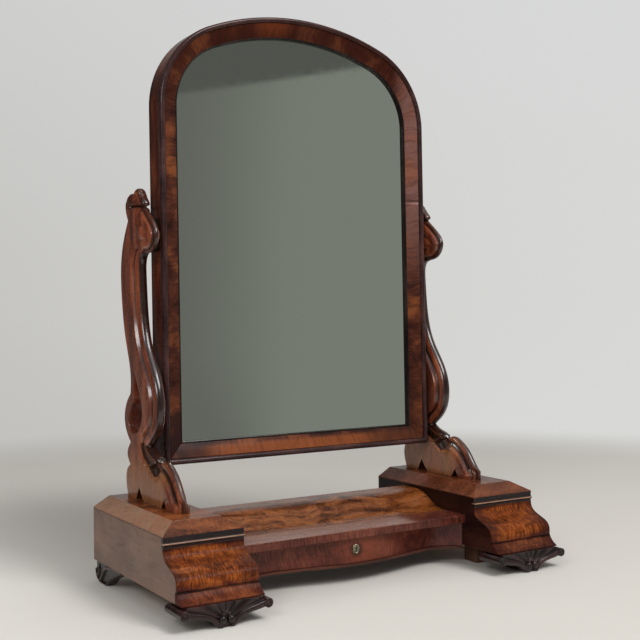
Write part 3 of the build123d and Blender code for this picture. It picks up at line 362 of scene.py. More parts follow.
def wood_figure(tree, coordinates, patch, curl, line, wave):
    """The shared mahogany figure with this wood's own scales."""
    return node(tree, "ShaderNodeGroup", node_tree=WOOD_FIGURE, in_Vector=coordinates, in_Wave=wave,
                in_Patch_Along=patch[0], in_Patch_Across=patch[1], in_Curl_Pitch=curl[0],
                in_Curl_Length=curl[1], in_Line_Along=line[0], in_Line_Across=line[1]).outputs


def worn_edges(tree, place, width):
    """The shared edge wear over edges of this width."""
    return node(tree, "ShaderNodeGroup", node_tree=EDGE_WEAR, in_Vector=place, in_Width=width).outputs


def rough_normal(tree, shader, height, under, strength, depth):
    """Joins a fine relief over the rounded edges' normal to the shader."""
    bump = node(tree, "ShaderNodeBump", in_Strength=strength, in_Distance=depth, in_Height=height,
                in_Normal=under)
    feed(tree, shader.inputs["Normal"], bump.outputs["Normal"])


AXES = {"X": (1.0, 0.0, 0.0), "Y": (0.0, 1.0, 0.0), "Z": (0.0, 0.0, 1.0)}


def fade(axis, start, full, amount, tone, centre=None, within=()):
    """A shade that lies over a wood's figure, with its places in drawing millimetres.

    It grows from nothing at start to its whole amount at full, along the X, Y or Z axis. With a centre it
    goes by the distance from there: along that axis, or in space where the axis is R and the centre a place.
    Each (axis or direction, first, last) of within narrows it in the same way.
    """
    return {"axis": axis, "start": start, "full": full, "amount": amount, "tone": tone, "centre": centre,
            "within": within}


def along_axis(tree, place, axis):
    """Each place's measure along an axis or a direction, in metres."""
    return vector_maths(tree, "DOT_PRODUCT", place, AXES.get(axis, axis))["Value"]


def on_axis(axis, measure):
    """A drawing measure along an axis or a direction as metres in the shared frame."""
    return measure * MM + FRONT_PLANE * AXES.get(axis, axis)[1]


def fade_mask(tree, place, broad, shade):
    """How strongly a shade lies at each place; the figure's light patches take a little less of it."""
    axis, centre = shade["axis"], shade["centre"]
    start, full = shade["start"] * MM, shade["full"] * MM
    if centre is None:
        away = along_axis(tree, place, axis)
        start, full = on_axis(axis, shade["start"]), on_axis(axis, shade["full"])
    elif axis == "R":
        away = vector_maths(tree, "DISTANCE", place, tuple(in_metres(centre)))["Value"]
    else:
        away = maths(tree, "SUBTRACT", along_axis(tree, place, axis), on_axis(axis, centre))
        away = maths(tree, "ABSOLUTE", away)
    mask = times(tree, remap(tree, away, start, full), remap(tree, broad, 0.9, 0.3, 0.6, 1.0))
    for direction, first, last in shade["within"]:
        first, last = on_axis(direction, first), on_axis(direction, last)
        mask = times(tree, mask, remap(tree, along_axis(tree, place, direction), first, last))
    return times(tree, mask, shade["amount"])


# How the figure's values turn into tones, and how dark each mark is as a share of the wood's dark tone.
FIGURE_RANGE = (0.30, 0.70)
TONE_STOPS = (0.18, 0.50, 0.80)
LINE_RANGE, LINE_DARK = (0.52, 0.34), 0.45
PORE_RANGE, PORE_DARK = (0.50, 0.34), 0.35
# Painted shade in carved hollows and painted highlight on carved crests, read from the mesh's own map.
HOLLOW_RANGE, HOLLOW_SHADE_DARK = (0.45, 0.85), 0.3
CREST_RANGE, CREST_HIGHLIGHT_SHARE = (0.5, 1.0), 0.45
# The polish: its clouds, how far they move the roughness, how much a worn edge dulls it, and its fine relief.
POLISH_SCALE, POLISH_RANGE = 38.0, (0.3, 0.7)
POLISH_DOWN, POLISH_UP, WORN_DULLS, COAT_ROUGH = 0.05, 0.07, 0.2, 0.12
CLOUD_RELIEF, POLISH_RELIEF, SCRATCH_RELIEF = 1.5, (0.12, 0.0003), (0.048, 0.0002)


def darker(tone, share):
    """A tone taken down to a share of itself."""
    return [share * v for v in tone]


def three_tones(tree, amount, dark, middle, light):
    """A ramp through the wood's dark, middle and light tone."""
    made = node(tree, "ShaderNodeValToRGB", in_Fac=amount)
    first, last = made.color_ramp.elements
    first.position, first.color = TONE_STOPS[0], linear(*dark)
    last.position, last.color = TONE_STOPS[2], linear(*light)
    made.color_ramp.elements.new(TONE_STOPS[1]).color = linear(*middle)
    return made.outputs["Color"]


def wood(name, dark, middle, light, grain="x", patch=(8.0, 30.0), curl=(300.0, 50.0), line=(10.0, 220.0),
         wave=0.4, curl_share=0.35, lines=0.45, pores=0.3, rough=0.3, coat=0.18, gloss=0.14, wear=0.5,
         wear_tone=(140, 88, 60), wear_width=0.0012, shift=(0.0, 0.0, 0.0), uv=False, shades=(), hollows=0.0):
    """A polished mahogany: patches and curl mix three tones; shades, lines, pores and worn edges lie over it.

    Hollows paints shade into a carving's coves and a highlight onto its crests, by the mesh's own map. The
    polish varies in clouds, is duller where an edge is worn, and dips over each pore.
    """
    material, tree, shader = new_material(name)
    place = object_place(tree)
    source = node(tree, "ShaderNodeUVMap", uv_map="along").outputs["UV"] if uv else place
    figure = wood_figure(tree, grain_coordinates(tree, source, grain, shift), patch, curl, line, wave)
    broad = remap(tree, figure["Patches"], *FIGURE_RANGE, smooth=False)
    across = remap(tree, figure["Curl"], *FIGURE_RANGE, smooth=False)
    mixed = maths(tree, "ADD", times(tree, broad, 1.0 - curl_share), times(tree, across, curl_share))
    colour = three_tones(tree, mixed, dark, middle, light)
    for shade in shades:
        colour = toned(tree, fade_mask(tree, place, broad, shade), colour, shade["tone"])
    for share, label, reach, dark_share in ((lines, "Lines", LINE_RANGE, LINE_DARK),
                                            (pores, "Pores", PORE_RANGE, PORE_DARK)):
        mark = times(tree, remap(tree, figure[label], *reach), share)
        colour = toned(tree, mark, colour, darker(dark, dark_share))
    # Painted shade in the hollows and a painted highlight on the crests.
    if hollows:
        hollow, crest_highlight = carved_map(tree)
        hollow_shade = times(tree, remap(tree, hollow, *HOLLOW_RANGE), hollows)
        raised = times(tree, remap(tree, crest_highlight, *CREST_RANGE), CREST_HIGHLIGHT_SHARE)
        colour = toned(tree, raised, toned(tree, hollow_shade, colour, darker(dark, HOLLOW_SHADE_DARK)), light)
    worn = worn_edges(tree, place, wear_width)
    rub = times(tree, worn["Wear"], wear)
    feed(tree, shader.inputs["Base Color"], toned(tree, rub, colour, wear_tone))
    polish = noise(tree, place, POLISH_SCALE, 4.0, 0.6)
    sheen = remap(tree, polish, *POLISH_RANGE, rough - POLISH_DOWN, rough + POLISH_UP)
    feed(tree, shader.inputs["Roughness"], maths(tree, "ADD", sheen, times(tree, rub, WORN_DULLS)))
    shader.inputs["Coat Weight"].default_value = coat
    shader.inputs["Coat Roughness"].default_value = COAT_ROUGH
    shader.inputs["Specular IOR Level"].default_value = gloss
    relief = maths(tree, "ADD", figure["Pores"], times(tree, polish, CLOUD_RELIEF))
    rough_normal(tree, shader, relief, worn["Rounded Normal"], *POLISH_RELIEF)
    return material


def plain_board(name, dark, light, grain, pores=0.4, shift=(0, 0, 0)):
    """Unpolished secondary wood: straight growth lines, open pores and a dusty surface."""
    middle = tuple((a + b) / 2 for a, b in zip(dark, light))
    rubbed = tuple(min(255, v * 1.1) for v in light)
    return wood(name, dark, middle, light, grain, patch=(4.0, 40.0), line=(5.0, 260.0), wave=0.15,
                curl_share=0.1, lines=0.2, pores=0.5 * pores, rough=0.6, coat=0.0, gloss=0.3, wear=0.25,
                wear_tone=rubbed, shift=shift)


def metal(name, bright, dull, rough, tarnish_scale=90.0, hole=False):
    """A handled metal: tarnish in patches over the bright tone, bright worn edges and fine scratches.

    Hole paints shade into the keyhole by the mesh's own map, where the plate stops being metal.
    """
    material, tree, shader = new_material(name)
    place = object_place(tree)
    patches = remap(tree, noise(tree, place, tarnish_scale, 5.0, 0.65), 0.35, 0.68)
    worn = worn_edges(tree, place, 0.0006)
    tarnish = times(tree, patches, maths(tree, "SUBTRACT", 1.0, worn["Edge"]))
    colour = two_tones(tree, tarnish, bright, dull)
    shader.inputs["Metallic"].default_value = 1.0
    if hole:
        opening, _ = carved_map(tree)
        colour = toned(tree, opening, colour, KEYHOLE_SHADE)
        feed(tree, shader.inputs["Metallic"], maths(tree, "SUBTRACT", 1.0, opening))
    feed(tree, shader.inputs["Base Color"], colour)
    stretched = vector_maths(tree, "MULTIPLY", place, SCRATCH_SCALES)[0]
    scratches = noise(tree, stretched, 1.0, 2.0, 0.5)
    feed(tree, shader.inputs["Roughness"], remap(tree, scratches, 0.3, 0.7, rough, rough + 0.18))
    rough_normal(tree, shader, scratches, worn["Rounded Normal"], *SCRATCH_RELIEF)
    return material


def plate_glass(name):
    """Silvered plate: a bright metal behind faint dust, with small foxed specks in clouds."""
    material, tree, shader = new_material(name)
    place = object_place(tree)
    specks = remap(tree, noise(tree, place, 420.0, 3.0, 0.7), 0.70, 0.78)
    clouds = remap(tree, noise(tree, place, 11.0, 4.0, 0.6), 0.52, 0.75)
    spots = times(tree, specks, times(tree, clouds, 0.5))
    feed(tree, shader.inputs["Base Color"], two_tones(tree, spots, SILVER, FOXED))
    dust = noise(tree, place, 60.0, 5.0, 0.6)
    feed(tree, shader.inputs["Roughness"], remap(tree, dust, 0.3, 0.7, 0.015, 0.045))
    shader.inputs["Metallic"].default_value = 1.0
    return material


# ---- finishes --------------------------------------------------------------------------
DARK_END = (58, 30, 26)
# Painted shade: under the fascia's overhang, and down the groove between the ogee and the splay.
SHADE_UNDER_FASCIA = (44, 21, 23)
GROOVE_SHADE = (22, 8, 8)
# Painted shade in the keyhole's opening.
KEYHOLE_SHADE = (8, 7, 6)
SCRATCH_SCALES = (900.0, 60.0, 900.0)
SILVER, FOXED = (236, 240, 235), (150, 150, 140)
FIGURED = dict(grain="x", curl=(420.0, 60.0), lines=0.25)
OGEE = dict(grain="x", patch=(10.0, 34.0), curl=(420.0, 70.0), line=(9.0, 200.0), wave=0.9, curl_share=0.5,
            lines=0.35, rough=0.4, coat=0.03, gloss=0.04, wear=0.2)
LID = dict(grain="x", patch=(9.0, 26.0), curl=(380.0, 90.0), wave=0.7, curl_share=0.3, lines=0.3, wear=0.6,
           rough=0.3)
FRAME_MOULDING = dict(grain="x", uv=True, wear=0.2)
LID_MITRE = (-1.0, 1.019, 0.0)  # runs square to the joint at the left lid's front corner
# Painted shade in the groove along the splay's top.
SPLAY_TOP_SHADE = fade("Z", 47.8, 49.2, 0.95, GROOVE_SHADE)


def ogee_finish(name, middle, shift):
    """The pedestals' flame veneer: orange with fine upright curl, darker at the ends, with painted shade
    under the fascia, on the belly's underside and in the groove at its foot.
    """
    return wood(name, (58, 26, 14), (118, 57, 24), (164, 88, 38), shift=shift, **OGEE, shades=(
        fade("X", 34, 62, 0.75, DARK_END, centre=middle),
        # Painted shade under the fascia, on the belly's underside and in the groove at the foot.
        fade("Z", 97.0, 101.5, 0.85, SHADE_UNDER_FASCIA),
        fade("Z", 60.0, 53.5, 0.6, (62, 30, 34)),
        fade("Z", 53.0, 51.2, 0.95, GROOVE_SHADE)))


def keyhole_middle():
    """The middle of the keyhole plate in drawing millimetres."""
    lowest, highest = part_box("escutcheon")
    x, y, z = (lowest + highest) / 2 / MM
    return x, y - FRONT_PLANE / MM, z


finish = {
    "ogee_left": ogee_finish("ogee_flame_left", -PEDESTAL_MIDDLE - 6.0, (0.3, 0.1, 0.0)),
    "ogee_right": ogee_finish("ogee_flame_right", PEDESTAL_MIDDLE + 4.0, (1.3, 0.7, 0.0)),
    "splay_left": wood(
        "splay_mottle_left", (66, 30, 20), (108, 54, 32), (136, 74, 42), shift=(0.1, 0.5, 0.2), **OGEE,
        shades=(fade("X", 36, 66, 0.7, (62, 22, 20), centre=-PEDESTAL_MIDDLE), SPLAY_TOP_SHADE)),
    "splay_right": wood(
        "splay_mottle_right", (50, 24, 18), (90, 46, 30), (120, 66, 40), shift=(0.7, 0.5, 0.9), **OGEE,
        shades=(fade("X", 36, 66, 0.7, (56, 24, 20), centre=PEDESTAL_MIDDLE), SPLAY_TOP_SHADE)),
    "lid_right": wood(
        "lid_curl_right", (66, 32, 18), (98, 50, 29), (122, 67, 40), shift=(0.0, 0.3, 0.4), **LID),
    "lid_left": wood(
        "lid_curl_left", (72, 36, 20), (120, 64, 34), (152, 88, 46), shift=(0.4, 0.1, 0.4), **LID,
        # Painted sheen: the left lid's outer chamfer takes a pale tone for the pale left side that it faces.
        shades=(fade("X", -322.2, -323.6, 0.85, (158, 118, 92), within=((LID_MITRE, 350, 351),)),)),
    "platform": wood(
        "platform_grain", (66, 30, 12), (108, 58, 28), (142, 84, 46), grain="x", patch=(4.5, 60.0),
        curl=(260.0, 80.0), line=(8.0, 190.0), wave=1.0, curl_share=0.18, lines=0.55, shift=(0.2, 0.1, 0.1),
        rough=0.24, shades=(fade("X", 100, 200, 0.45, (140, 76, 30)),)),
    "rail": wood(
        "rail_mottle", (62, 26, 20), (94, 46, 36), (124, 68, 50), patch=(9.0, 18.0), wave=0.5, curl_share=0.5,
        shift=(0.6, 0.2, 0.1), **FIGURED,
        # Painted reflection: the rail's top is pale with the backdrop's reflection, fading out towards the
        # right.
        shades=(fade("Z", 85.2, 86.6, 0.75, (150, 118, 106), within=(("X", 130, 100),)),)),
    "drawer_front": wood(
        "drawer_front_mottle", (66, 30, 25), (106, 51, 40), (140, 76, 53), patch=(7.0, 14.0), wave=0.6,
        curl_share=0.45, shift=(0.9, 0.2, 0.5), **FIGURED, shades=(
            fade("X", 100, 0, 0.5, (138, 66, 36), centre=30),
            # Painted reflection: grey-purple over the drawer front's right end.
            fade("X", 130, 200, 0.4, (74, 50, 58)),
            fade("R", 17, 6, 0.8, (24, 10, 8), centre=keyhole_middle()))),
    # Painted sheen: the outer sides' pale grey tones lay the pale left side's reflection into the veneer's
    # colour. The thin dark line at the top is the joint under the lid.
    "side": wood(
        "side_veneer_painted_sheen", (110, 86, 73), (120, 92, 77), (130, 99, 82), grain="y", patch=(6.0, 20.0),
        wave=0.6, curl_share=0.15, lines=0.25, pores=0.2, shift=(0.5, 0.5, 0.1), rough=0.36,
        shades=(fade("Z", 1.0, 0.4, 0.8, (46, 28, 24), centre=118.3),)),
    "inner_side": wood(
        "side_veneer_red", (24, 10, 8), (40, 18, 15), (64, 32, 24), grain="y", patch=(5.0, 22.0), wave=0.3,
        curl_share=0.15, lines=0.35, shift=(0.1, 0.9, 0.1)),
    "fascia": wood(
        "fascia_black_red", (14, 8, 8), (24, 13, 13), (38, 20, 18), curl_share=0.2, lines=0.3, wear=0.75,
        wear_tone=(150, 104, 86), wear_width=0.0007, coat=0.3,
        shades=(fade("Z", 1.3, 0.5, 0.85, (176, 132, 106), centre=109.2),)),
    "carved": wood(
        "carved_dark_red", (26, 12, 13), (42, 21, 20), (64, 32, 28), patch=(20.0, 60.0), curl_share=0.2,
        lines=0.3, wear=0.4, wear_tone=(110, 70, 66), wear_width=0.0008, rough=0.34, coat=0.3, gloss=0.3,
        hollows=0.9),
    "support": wood(
        "support_carved", (76, 32, 20), (122, 56, 33), (156, 82, 48), grain="z", patch=(6.0, 40.0),
        curl=(160.0, 160.0), line=(9.0, 260.0), wave=0.3, curl_share=0.12, wear=0.3, wear_tone=(150, 100, 84),
        wear_width=0.0008, rough=0.28, coat=0.7, gloss=0.45, hollows=0.9, shades=(
            fade("Y", 95.5, 135.5, 0.85, (178, 116, 66), within=(("Z", 225, 175),)),
            fade("Y", 105.5, 155.5, 0.35, (104, 66, 56), within=(("Z", 420, 250),)))),
    # Painted sheen: the outer bead's mauve-grey tones lay the pale left side's reflection over its dark
    # red-brown; over the arch it goes back to dark red-brown.
    "bead": wood(
        "outer_bead_dark_painted_sheen", (40, 25, 25), (60, 39, 38), (84, 56, 52), patch=(10.0, 30.0), curl_share=0.15,
        lines=0.4, coat=0.2, gloss=0.15, **FRAME_MOULDING, shades=(fade("Z", 800, 900, 0.7, (60, 26, 18)),)),
    "band": wood(
        "cross_band_flame", (40, 19, 15), (74, 38, 27), (120, 66, 38), patch=(17.0, 14.0), curl=(420.0, 30.0),
        line=(160.0, 14.0), wave=1.0, curl_share=0.25, lines=0.3, coat=0.03, gloss=0.06, rough=0.36,
        **FRAME_MOULDING, shades=(
            fade("Z", 222, 214, 0.6, (156, 84, 42), within=(("X", -235, -215),)),
            fade("R", 100, 45, 0.8, (44, 26, 26), centre=(-250, 175.5, 205)),
            fade("Z", 740, 860, 0.7, (58, 22, 13)),
            fade("R", 130, 60, 0.8, (60, 32, 24), centre=(220, 145.5, 205)),
            fade("R", 42, 14, 0.7, (44, 24, 18), centre=(-115, 145.5, 232)),
            fade("R", 36, 12, 0.65, (46, 24, 18), centre=(15, 145.5, 236)),
            fade("R", 34, 12, 0.7, (44, 24, 18), centre=(85, 145.5, 230)),
            fade("R", 70, 40, 0.5, (138, 66, 30), centre=(-50, 155.5, 930)),
            fade("R", 50, 20, 0.7, (40, 18, 13), centre=(-115, 155.5, 915)),
            fade("R", 50, 20, 0.6, (46, 20, 14), centre=(30, 155.5, 930)),
            # Painted sheen: pinkish pale on the right stile's band, which slopes to face the pale left side.
            fade("X", 200, 235, 0.55, (146, 106, 98), within=(("Z", 450, 660),)),
            fade("Z", 2.2, 0.8, 0.45, (190, 154, 144), centre=638.5, within=(("X", 225, 250),)),
            fade("Z", 3.4, 1.0, 0.6, (50, 28, 26), centre=643, within=(("X", 200, 220),)))),
    "sight": wood(
        "sight_bead_dark", (20, 16, 15), (32, 24, 22), (48, 40, 36), curl_share=0.1, lines=0.3, grain="x",
        uv=True, wear=0.15, wear_width=0.0005, coat=0.05, gloss=0.1),
    "stile": wood(
        "frame_side_red", (48, 18, 11), (82, 34, 18), (112, 54, 28), grain="z", patch=(5.0, 34.0), wave=0.3,
        curl_share=0.15, lines=0.4, shift=(0.4, 0.4, 0.2)),
    "pine_x": plain_board("pine_along_x", (146, 100, 62), (188, 140, 92), "x"),
    "pine_y": plain_board("pine_along_y", (142, 98, 60), (184, 138, 92), "y", shift=(0.3, 0.1, 0.4)),
    "pine_z": plain_board("pine_along_z", (140, 96, 60), (182, 136, 90), "z", shift=(0.7, 0.2, 0.4)),
    "drawer_floor": plain_board(
        "platform_bottom_red", (58, 28, 20), (92, 50, 36), "x", shift=(0.5, 0.2, 0.3)),
    "block": plain_board("block_foot_brown", (78, 50, 34), (112, 76, 52), "z", shift=(0.2, 0.2, 0.4)),
    "oak_x": plain_board("oak_along_x", (132, 98, 62), (178, 142, 98), "x", pores=0.6),
    "oak_y": plain_board("oak_along_y", (132, 98, 62), (178, 142, 98), "y", pores=0.6, shift=(0.1, 0.6, 0.2)),
    "brass": metal("brass_worn", (214, 178, 104), (132, 98, 48), 0.28),
    "dark_brass": metal("pivot_plate_browned", (92, 68, 42), (48, 32, 22), 0.42),
    "keyhole_plate": metal("keyhole_plate_silvery", (170, 160, 138), (88, 74, 56), 0.3, 160.0, hole=True),
    "steel": metal("screw_steel_dull", (150, 146, 140), (78, 70, 62), 0.42),
    "plate": plate_glass("silvered_plate"),
}


# ---- the swing frame's mouldings -------------------------------------------------------
MITRE_ROW = 40.0  # the last row of a straight length before its mitred end
LENGTH_SHIFT = 371.0  # moves the veneer's figure on from one length to the next
MITRED = 1.9  # an end's inward direction sums to 2 where it is mitred


def frame_line(steps):
    """The frame's outer line in four lengths, each as places and inward directions.

    Lengths: left stile up, arch from left to right as two shoulders and a crown of circle arcs, right stile
    down, and bottom rail back to the left. An inset of u moves each place u along its inward direction.
    """
    def straight(a, b, inward):
        first = MITRE_ROW / math.dist(a, b)
        t = np.concatenate([[0.0], np.linspace(first, 1.0 - first, steps), [1.0]])[:, None]
        return np.array(a) + t * (np.array(b) - np.array(a)), np.tile(inward, (steps + 2, 1))

    def arc(centre, radius, start, stop, count):
        angle = np.linspace(start, stop, count)
        outward = np.stack([np.cos(angle), np.sin(angle)], axis=1)
        return np.array(centre) + radius * outward, -outward

    left = straight((-FRAME_HALF, FRAME_LOW), (-FRAME_HALF, SPRING_Z), (1.0, 0.0))
    one = arc((-SHOULDER_X, SPRING_Z), SHOULDER_RADIUS, math.pi, math.pi - SHOULDER_TURN, 40)
    crown = arc((0.0, CROWN_Z), CROWN_RADIUS, math.pi - SHOULDER_TURN, SHOULDER_TURN, 60)
    two = arc((SHOULDER_X, SPRING_Z), SHOULDER_RADIUS, SHOULDER_TURN, 0.0, 40)
    arch = tuple(np.concatenate([one[i], crown[i][1:], two[i][1:]]) for i in range(2))
    right = straight((FRAME_HALF, SPRING_Z), (FRAME_HALF, FRAME_LOW), (-1.0, 0.0))
    rail = straight((FRAME_HALF, FRAME_LOW), (-FRAME_HALF, FRAME_LOW), (0.0, 1.0))
    left[1][0] = rail[1][-1] = (1.0, 1.0)
    right[1][-1] = rail[1][0] = (-1.0, 1.0)
    return left, arch, right, rail


def leaned(x, y, z):
    """Drawing places turned about the pivots' line so that the frame's top lies back, in metres."""
    y, z = y - PIVOT_Y, z - PIVOT_Z
    return placed(x, PIVOT_Y + y * math.cos(LEAN) + z * math.sin(LEAN),
                  PIVOT_Z - y * math.sin(LEAN) + z * math.cos(LEAN))


def frame_moulding(name, section, kind, slot, stands_for, steps=24):
    """A closed section of (inward, back) carried along the frame's lengths, mitred at the bottom corners."""
    inset, back = np.asarray(section, float).T
    surface = Surface()
    rim = run_along(section)[None, :]
    start = 0.0
    for line, inward in frame_line(steps):
        run = start + run_along(line)
        place = line[:, None, :] + inward[:, None, :] * inset[None, :, None]
        points = leaned(place[..., 0], FRAME_FRONT + back, place[..., 1])
        mitre = 1.0 * (np.abs(inward).sum(axis=1) > MITRED)
        mitre[-1] *= -1.0
        across = run[:, None] + mitre[:, None] * inset[None, :]
        surface.grid(points, MM * np.stack(np.broadcast_arrays(across, rim), axis=-1), around=True)
        surface.cap(points[0])
        surface.cap(points[-1])
        start = run[-1] + LENGTH_SHIFT
    surface.make(name, "mirror", slot, finish[kind], stands_for)


def half_round(width, depth, count=12):
    """Section of a bead: a half circle across its width, then square back to its depth."""
    radius = width / 2
    angle = np.linspace(math.pi, 0, count)
    top = np.stack([radius + radius * np.cos(angle), radius - radius * np.sin(angle)], axis=1)
    return np.concatenate([top, [[width, depth], [0.0, depth]]])


# Sections by distance in from the frame's outer line and back from its front.
OUTER_BEAD = half_round(9.0, 11.0)
CROSS_BAND = ((9.0, 5.0), (10.0, 4.4), (21.0, 8.9), (31.4, 13.5), (32.4, 14.1), (32.4, 15.5), (9.0, 6.0))
SIGHT_BEAD = ((32.4, 14.0), (33.2, 13.6), (34.2, 13.8), (35.0, 14.9), (35.4, 16.5), (35.4, 20.0),
              (32.4, 20.0))
frame_moulding("frame_outer_bead", OUTER_BEAD, "bead", "carved_mahogany", ["mirror_outer_bead"])
frame_moulding("frame_cross_band", CROSS_BAND, "band", "flame_veneer", ["mirror_veneer_band"])
frame_moulding("frame_sight_bead", SIGHT_BEAD, "sight", "carved_mahogany", ["mirror_sight_bead"])


# ---- carved scroll supports ------------------------------------------------------------
def rise(points):
    """Heights above the lid to heights above the floor."""
    return np.asarray(points, float) + np.array([0.0, LID_TOP])


FRONT_STRETCHES = (
    ((233, 504.8), (225.5, 503), (219.5, 498), (215, 491.5), (209, 485.5), (204.5, 478.5), (206, 471)),
    ((206, 471), (183, 453), (164, 426), (175, 405), (206, 397)),
    ((206, 397), (217, 391), (221.5, 362), (218.5, 328), (200, 252), (167, 203), (151, 156), (162, 114),
     (190, 89)),
    ((190, 89), (172, 80.5), (153, 73.5), (146, 65)),
    ((146, 65), (138, 70), (127, 71), (112, 64.5), (93, 50.5), (77, 31), (68, 21.5), (60, 16)),
    ((60, 16), (60, 8), (60, 0)),
)
BACK_STRETCHES = (
    ((233, 504.6), (240.5, 502.5), (245, 498.3), (249, 497), (255, 494.5), (261, 488), (264, 476),
     (254, 453)),
    ((254, 453), (280, 409), (287, 362), (283, 319), (268, 257), (247, 190), (249, 170)),
    ((249, 170), (266, 154), (275, 126), (267, 106), (250, 90)),
    ((250, 90), (265, 70), (253, 53)),
    ((253, 53), (267, 44), (271, 24), (263, 0)),
)
# Matching stops down the front and the back, each as (stretch, share of it).
RIBS = (
    ((0, 0.0), (0, 0.0)), ((0, 0.55), (0, 0.5)), ((1, 0.0), (0, 0.95)), ((1, 0.5), (1, 0.10)),
    ((2, 0.0), (1, 0.27)), ((2, 0.25), (1, 0.45)), ((2, 0.48), (1, 0.66)), ((2, 0.645), (1, 0.86)),
    ((2, 0.78), (2, 0.15)), ((2, 0.90), (2, 0.62)), ((3, 0.0), (3, 0.0)), ((3, 0.5), (3, 0.5)),
    ((3, 1.0), (4, 0.0)),
)
# The support's underside from the toe to the back, with its two small pointed arches.
UNDERSIDE = ((60, 0), (106, 0), (111.5, 8.5), (115, 14), (119.5, 8.5), (125, 0), (150, 0), (196, 0),
             (206.5, 11), (214, 21), (220.5, 11), (226, 0), (263, 0))


def stretch_line(stretches, count=120):
    """The stretches as smooth lines, one array each."""
    return [smooth_line(rise(s), count) for s in stretches]


def joined(lines):
    """Lines end to end as one, without doubled places."""
    return np.concatenate([line[:-1] for line in lines[:-1]] + [lines[-1]])


FRONT_LINES = stretch_line(FRONT_STRETCHES)
BACK_LINES = stretch_line(BACK_STRETCHES)
FRONT_LINE = joined(FRONT_LINES)
BACK_LINE = joined(BACK_LINES)
TIP, BOTTOM = rise((233, 207)), rise((235, 105))
HOLE_FRONT = smooth_line(rise((
    (233, 207), (222, 189), (204, 161), (201, 141), (206, 124), (218, 110), (235, 105))), 90)
HOLE_BACK = smooth_line(rise((
    (233, 207), (236.5, 184), (239, 158), (249, 146), (258, 128), (252, 111), (235, 105))), 90)
HOLE_LINE = np.concatenate([HOLE_FRONT, HOLE_BACK[::-1]])


def run_of(lines, stop):
    """Length along the whole line of a stop given as (stretch, share)."""
    lengths = [run_along(line)[-1] for line in lines]
    return sum(lengths[:stop[0]]) + lengths[stop[0]] * stop[1]


def at_run(whole, run):
    """Places on a polyline at given run lengths."""
    return along(whole, np.asarray(run) / run_along(whole)[-1])


def with_nose(radius, rest):
    """A profile that starts as a quarter circle, goes on through the places, and ends at full thickness."""
    angle = np.linspace(0, math.pi / 2, 9)
    nose = np.stack([radius - radius * np.cos(angle), radius * np.sin(angle)], axis=1)
    return np.concatenate([nose, np.array((*rest, (DEEPEST, SUPPORT_HALF)), float)])


# Mouldings of the carved front: depth behind the front edge, and half thickness there.
DEEPEST, DEPTH_STEP = 40.0, 0.1
DEPTHS = np.linspace(0, DEEPEST, round(DEEPEST / DEPTH_STEP) + 1)
KNOB = with_nose(8.5, ((12.0, 9.2), (16.0, 10.6), (22.0, 12.2), (27.0, 13.0)))
VOLUTE = with_nose(4.4, (
    (5.4, 3.9), (6.4, 4.9), (9.0, 8.2), (13.0, 10.2), (17.0, 10.4), (20.0, 9.3), (21.5, 8.7), (23.0, 9.6),
    (26.0, 12.0), (30.0, 13.0), (34.0, 12.9), (36.5, 12.1), (38.0, 12.2)))
SHAFT = with_nose(9.6, (
    (13.0, 9.2), (15.2, 7.6), (16.8, 5.8), (18.2, 5.8), (19.8, 8.2), (21.8, 11.4), (23.4, 12.8)))
NECK = with_nose(8.6, ((12.0, 8.6), (15.0, 8.0), (18.5, 7.6), (21.5, 8.6), (24.0, 12.2), (25.5, 13.0)))
FOOT = with_nose(6.8, (
    (9.0, 6.4), (10.6, 5.2), (12.2, 5.2), (15.5, 6.6), (18.5, 9.2), (20.5, 12.0), (21.5, 12.6), (22.3, 12.2),
    (23.4, 13.0)))
TOE = with_nose(3.0, ((6.0, 4.4), (9.0, 8.0), (10.5, 8.2), (13.0, 8.4), (15.0, 12.0), (16.0, 12.9)))
EASED_FROM = 70  # the noses and first hollows stay crisp, and the profiles are eased from this column on


def moulding(runs_and_profiles):
    """A table of profiles along the front edge: run lengths, and half thickness by depth."""
    runs = np.array([run for run, _ in runs_and_profiles])
    table = np.stack([np.interp(DEPTHS, rows[:, 0], rows[:, 1]) for _, rows in runs_and_profiles])
    padded = np.pad(table, ((0, 0), (2, 2)), mode="edge")
    eased = sum(padded[:, i:i + table.shape[1]] for i in range(5)) / 5
    table[:, EASED_FROM:] = eased[:, EASED_FROM:]
    return runs, table


def looked_up(places, line, runs, table):
    """Half thickness by a moulding table, eased between profiles, and the depth and run behind the line."""
    depth, run = nearest(places, line)
    k = np.clip(np.searchsorted(runs, run) - 1, 0, len(runs) - 2)
    share = step((run - runs[k]) / (runs[k + 1] - runs[k]) - 0.5, 1.0)
    column = np.clip(depth / DEPTH_STEP, 0, len(DEPTHS) - 1)
    low = np.minimum(column.astype(int), len(DEPTHS) - 2)
    part = column - low
    first = table[k, low] * (1 - part) + table[k, low + 1] * part
    second = table[k + 1, low] * (1 - part) + table[k + 1, low + 1] * part
    return first + share * (second - first), depth, run


def step(value, width):
    """0 below zero to 1 above it, eased over the width."""
    t = np.clip(value / width + 0.5, 0, 1)
    return t * t * (3 - 2 * t)


def bell(distance, width):
    """1 on a line, falling off to its sides over the width."""
    return np.exp(-(distance / width) ** 2)


def quarter_round(share):
    """The height of a quarter circle, 0 at its edge and 1 from the full share on."""
    return np.sqrt(1 - (1 - np.clip(share, 0, 1)) ** 2)


def along_front(first, *stops_and_profiles):
    """A moulding table over the front line from the first stop on."""
    start = run_of(FRONT_LINES, first)
    return moulding([(run_of(FRONT_LINES, stop) - start, profile) for stop, profile in stops_and_profiles])


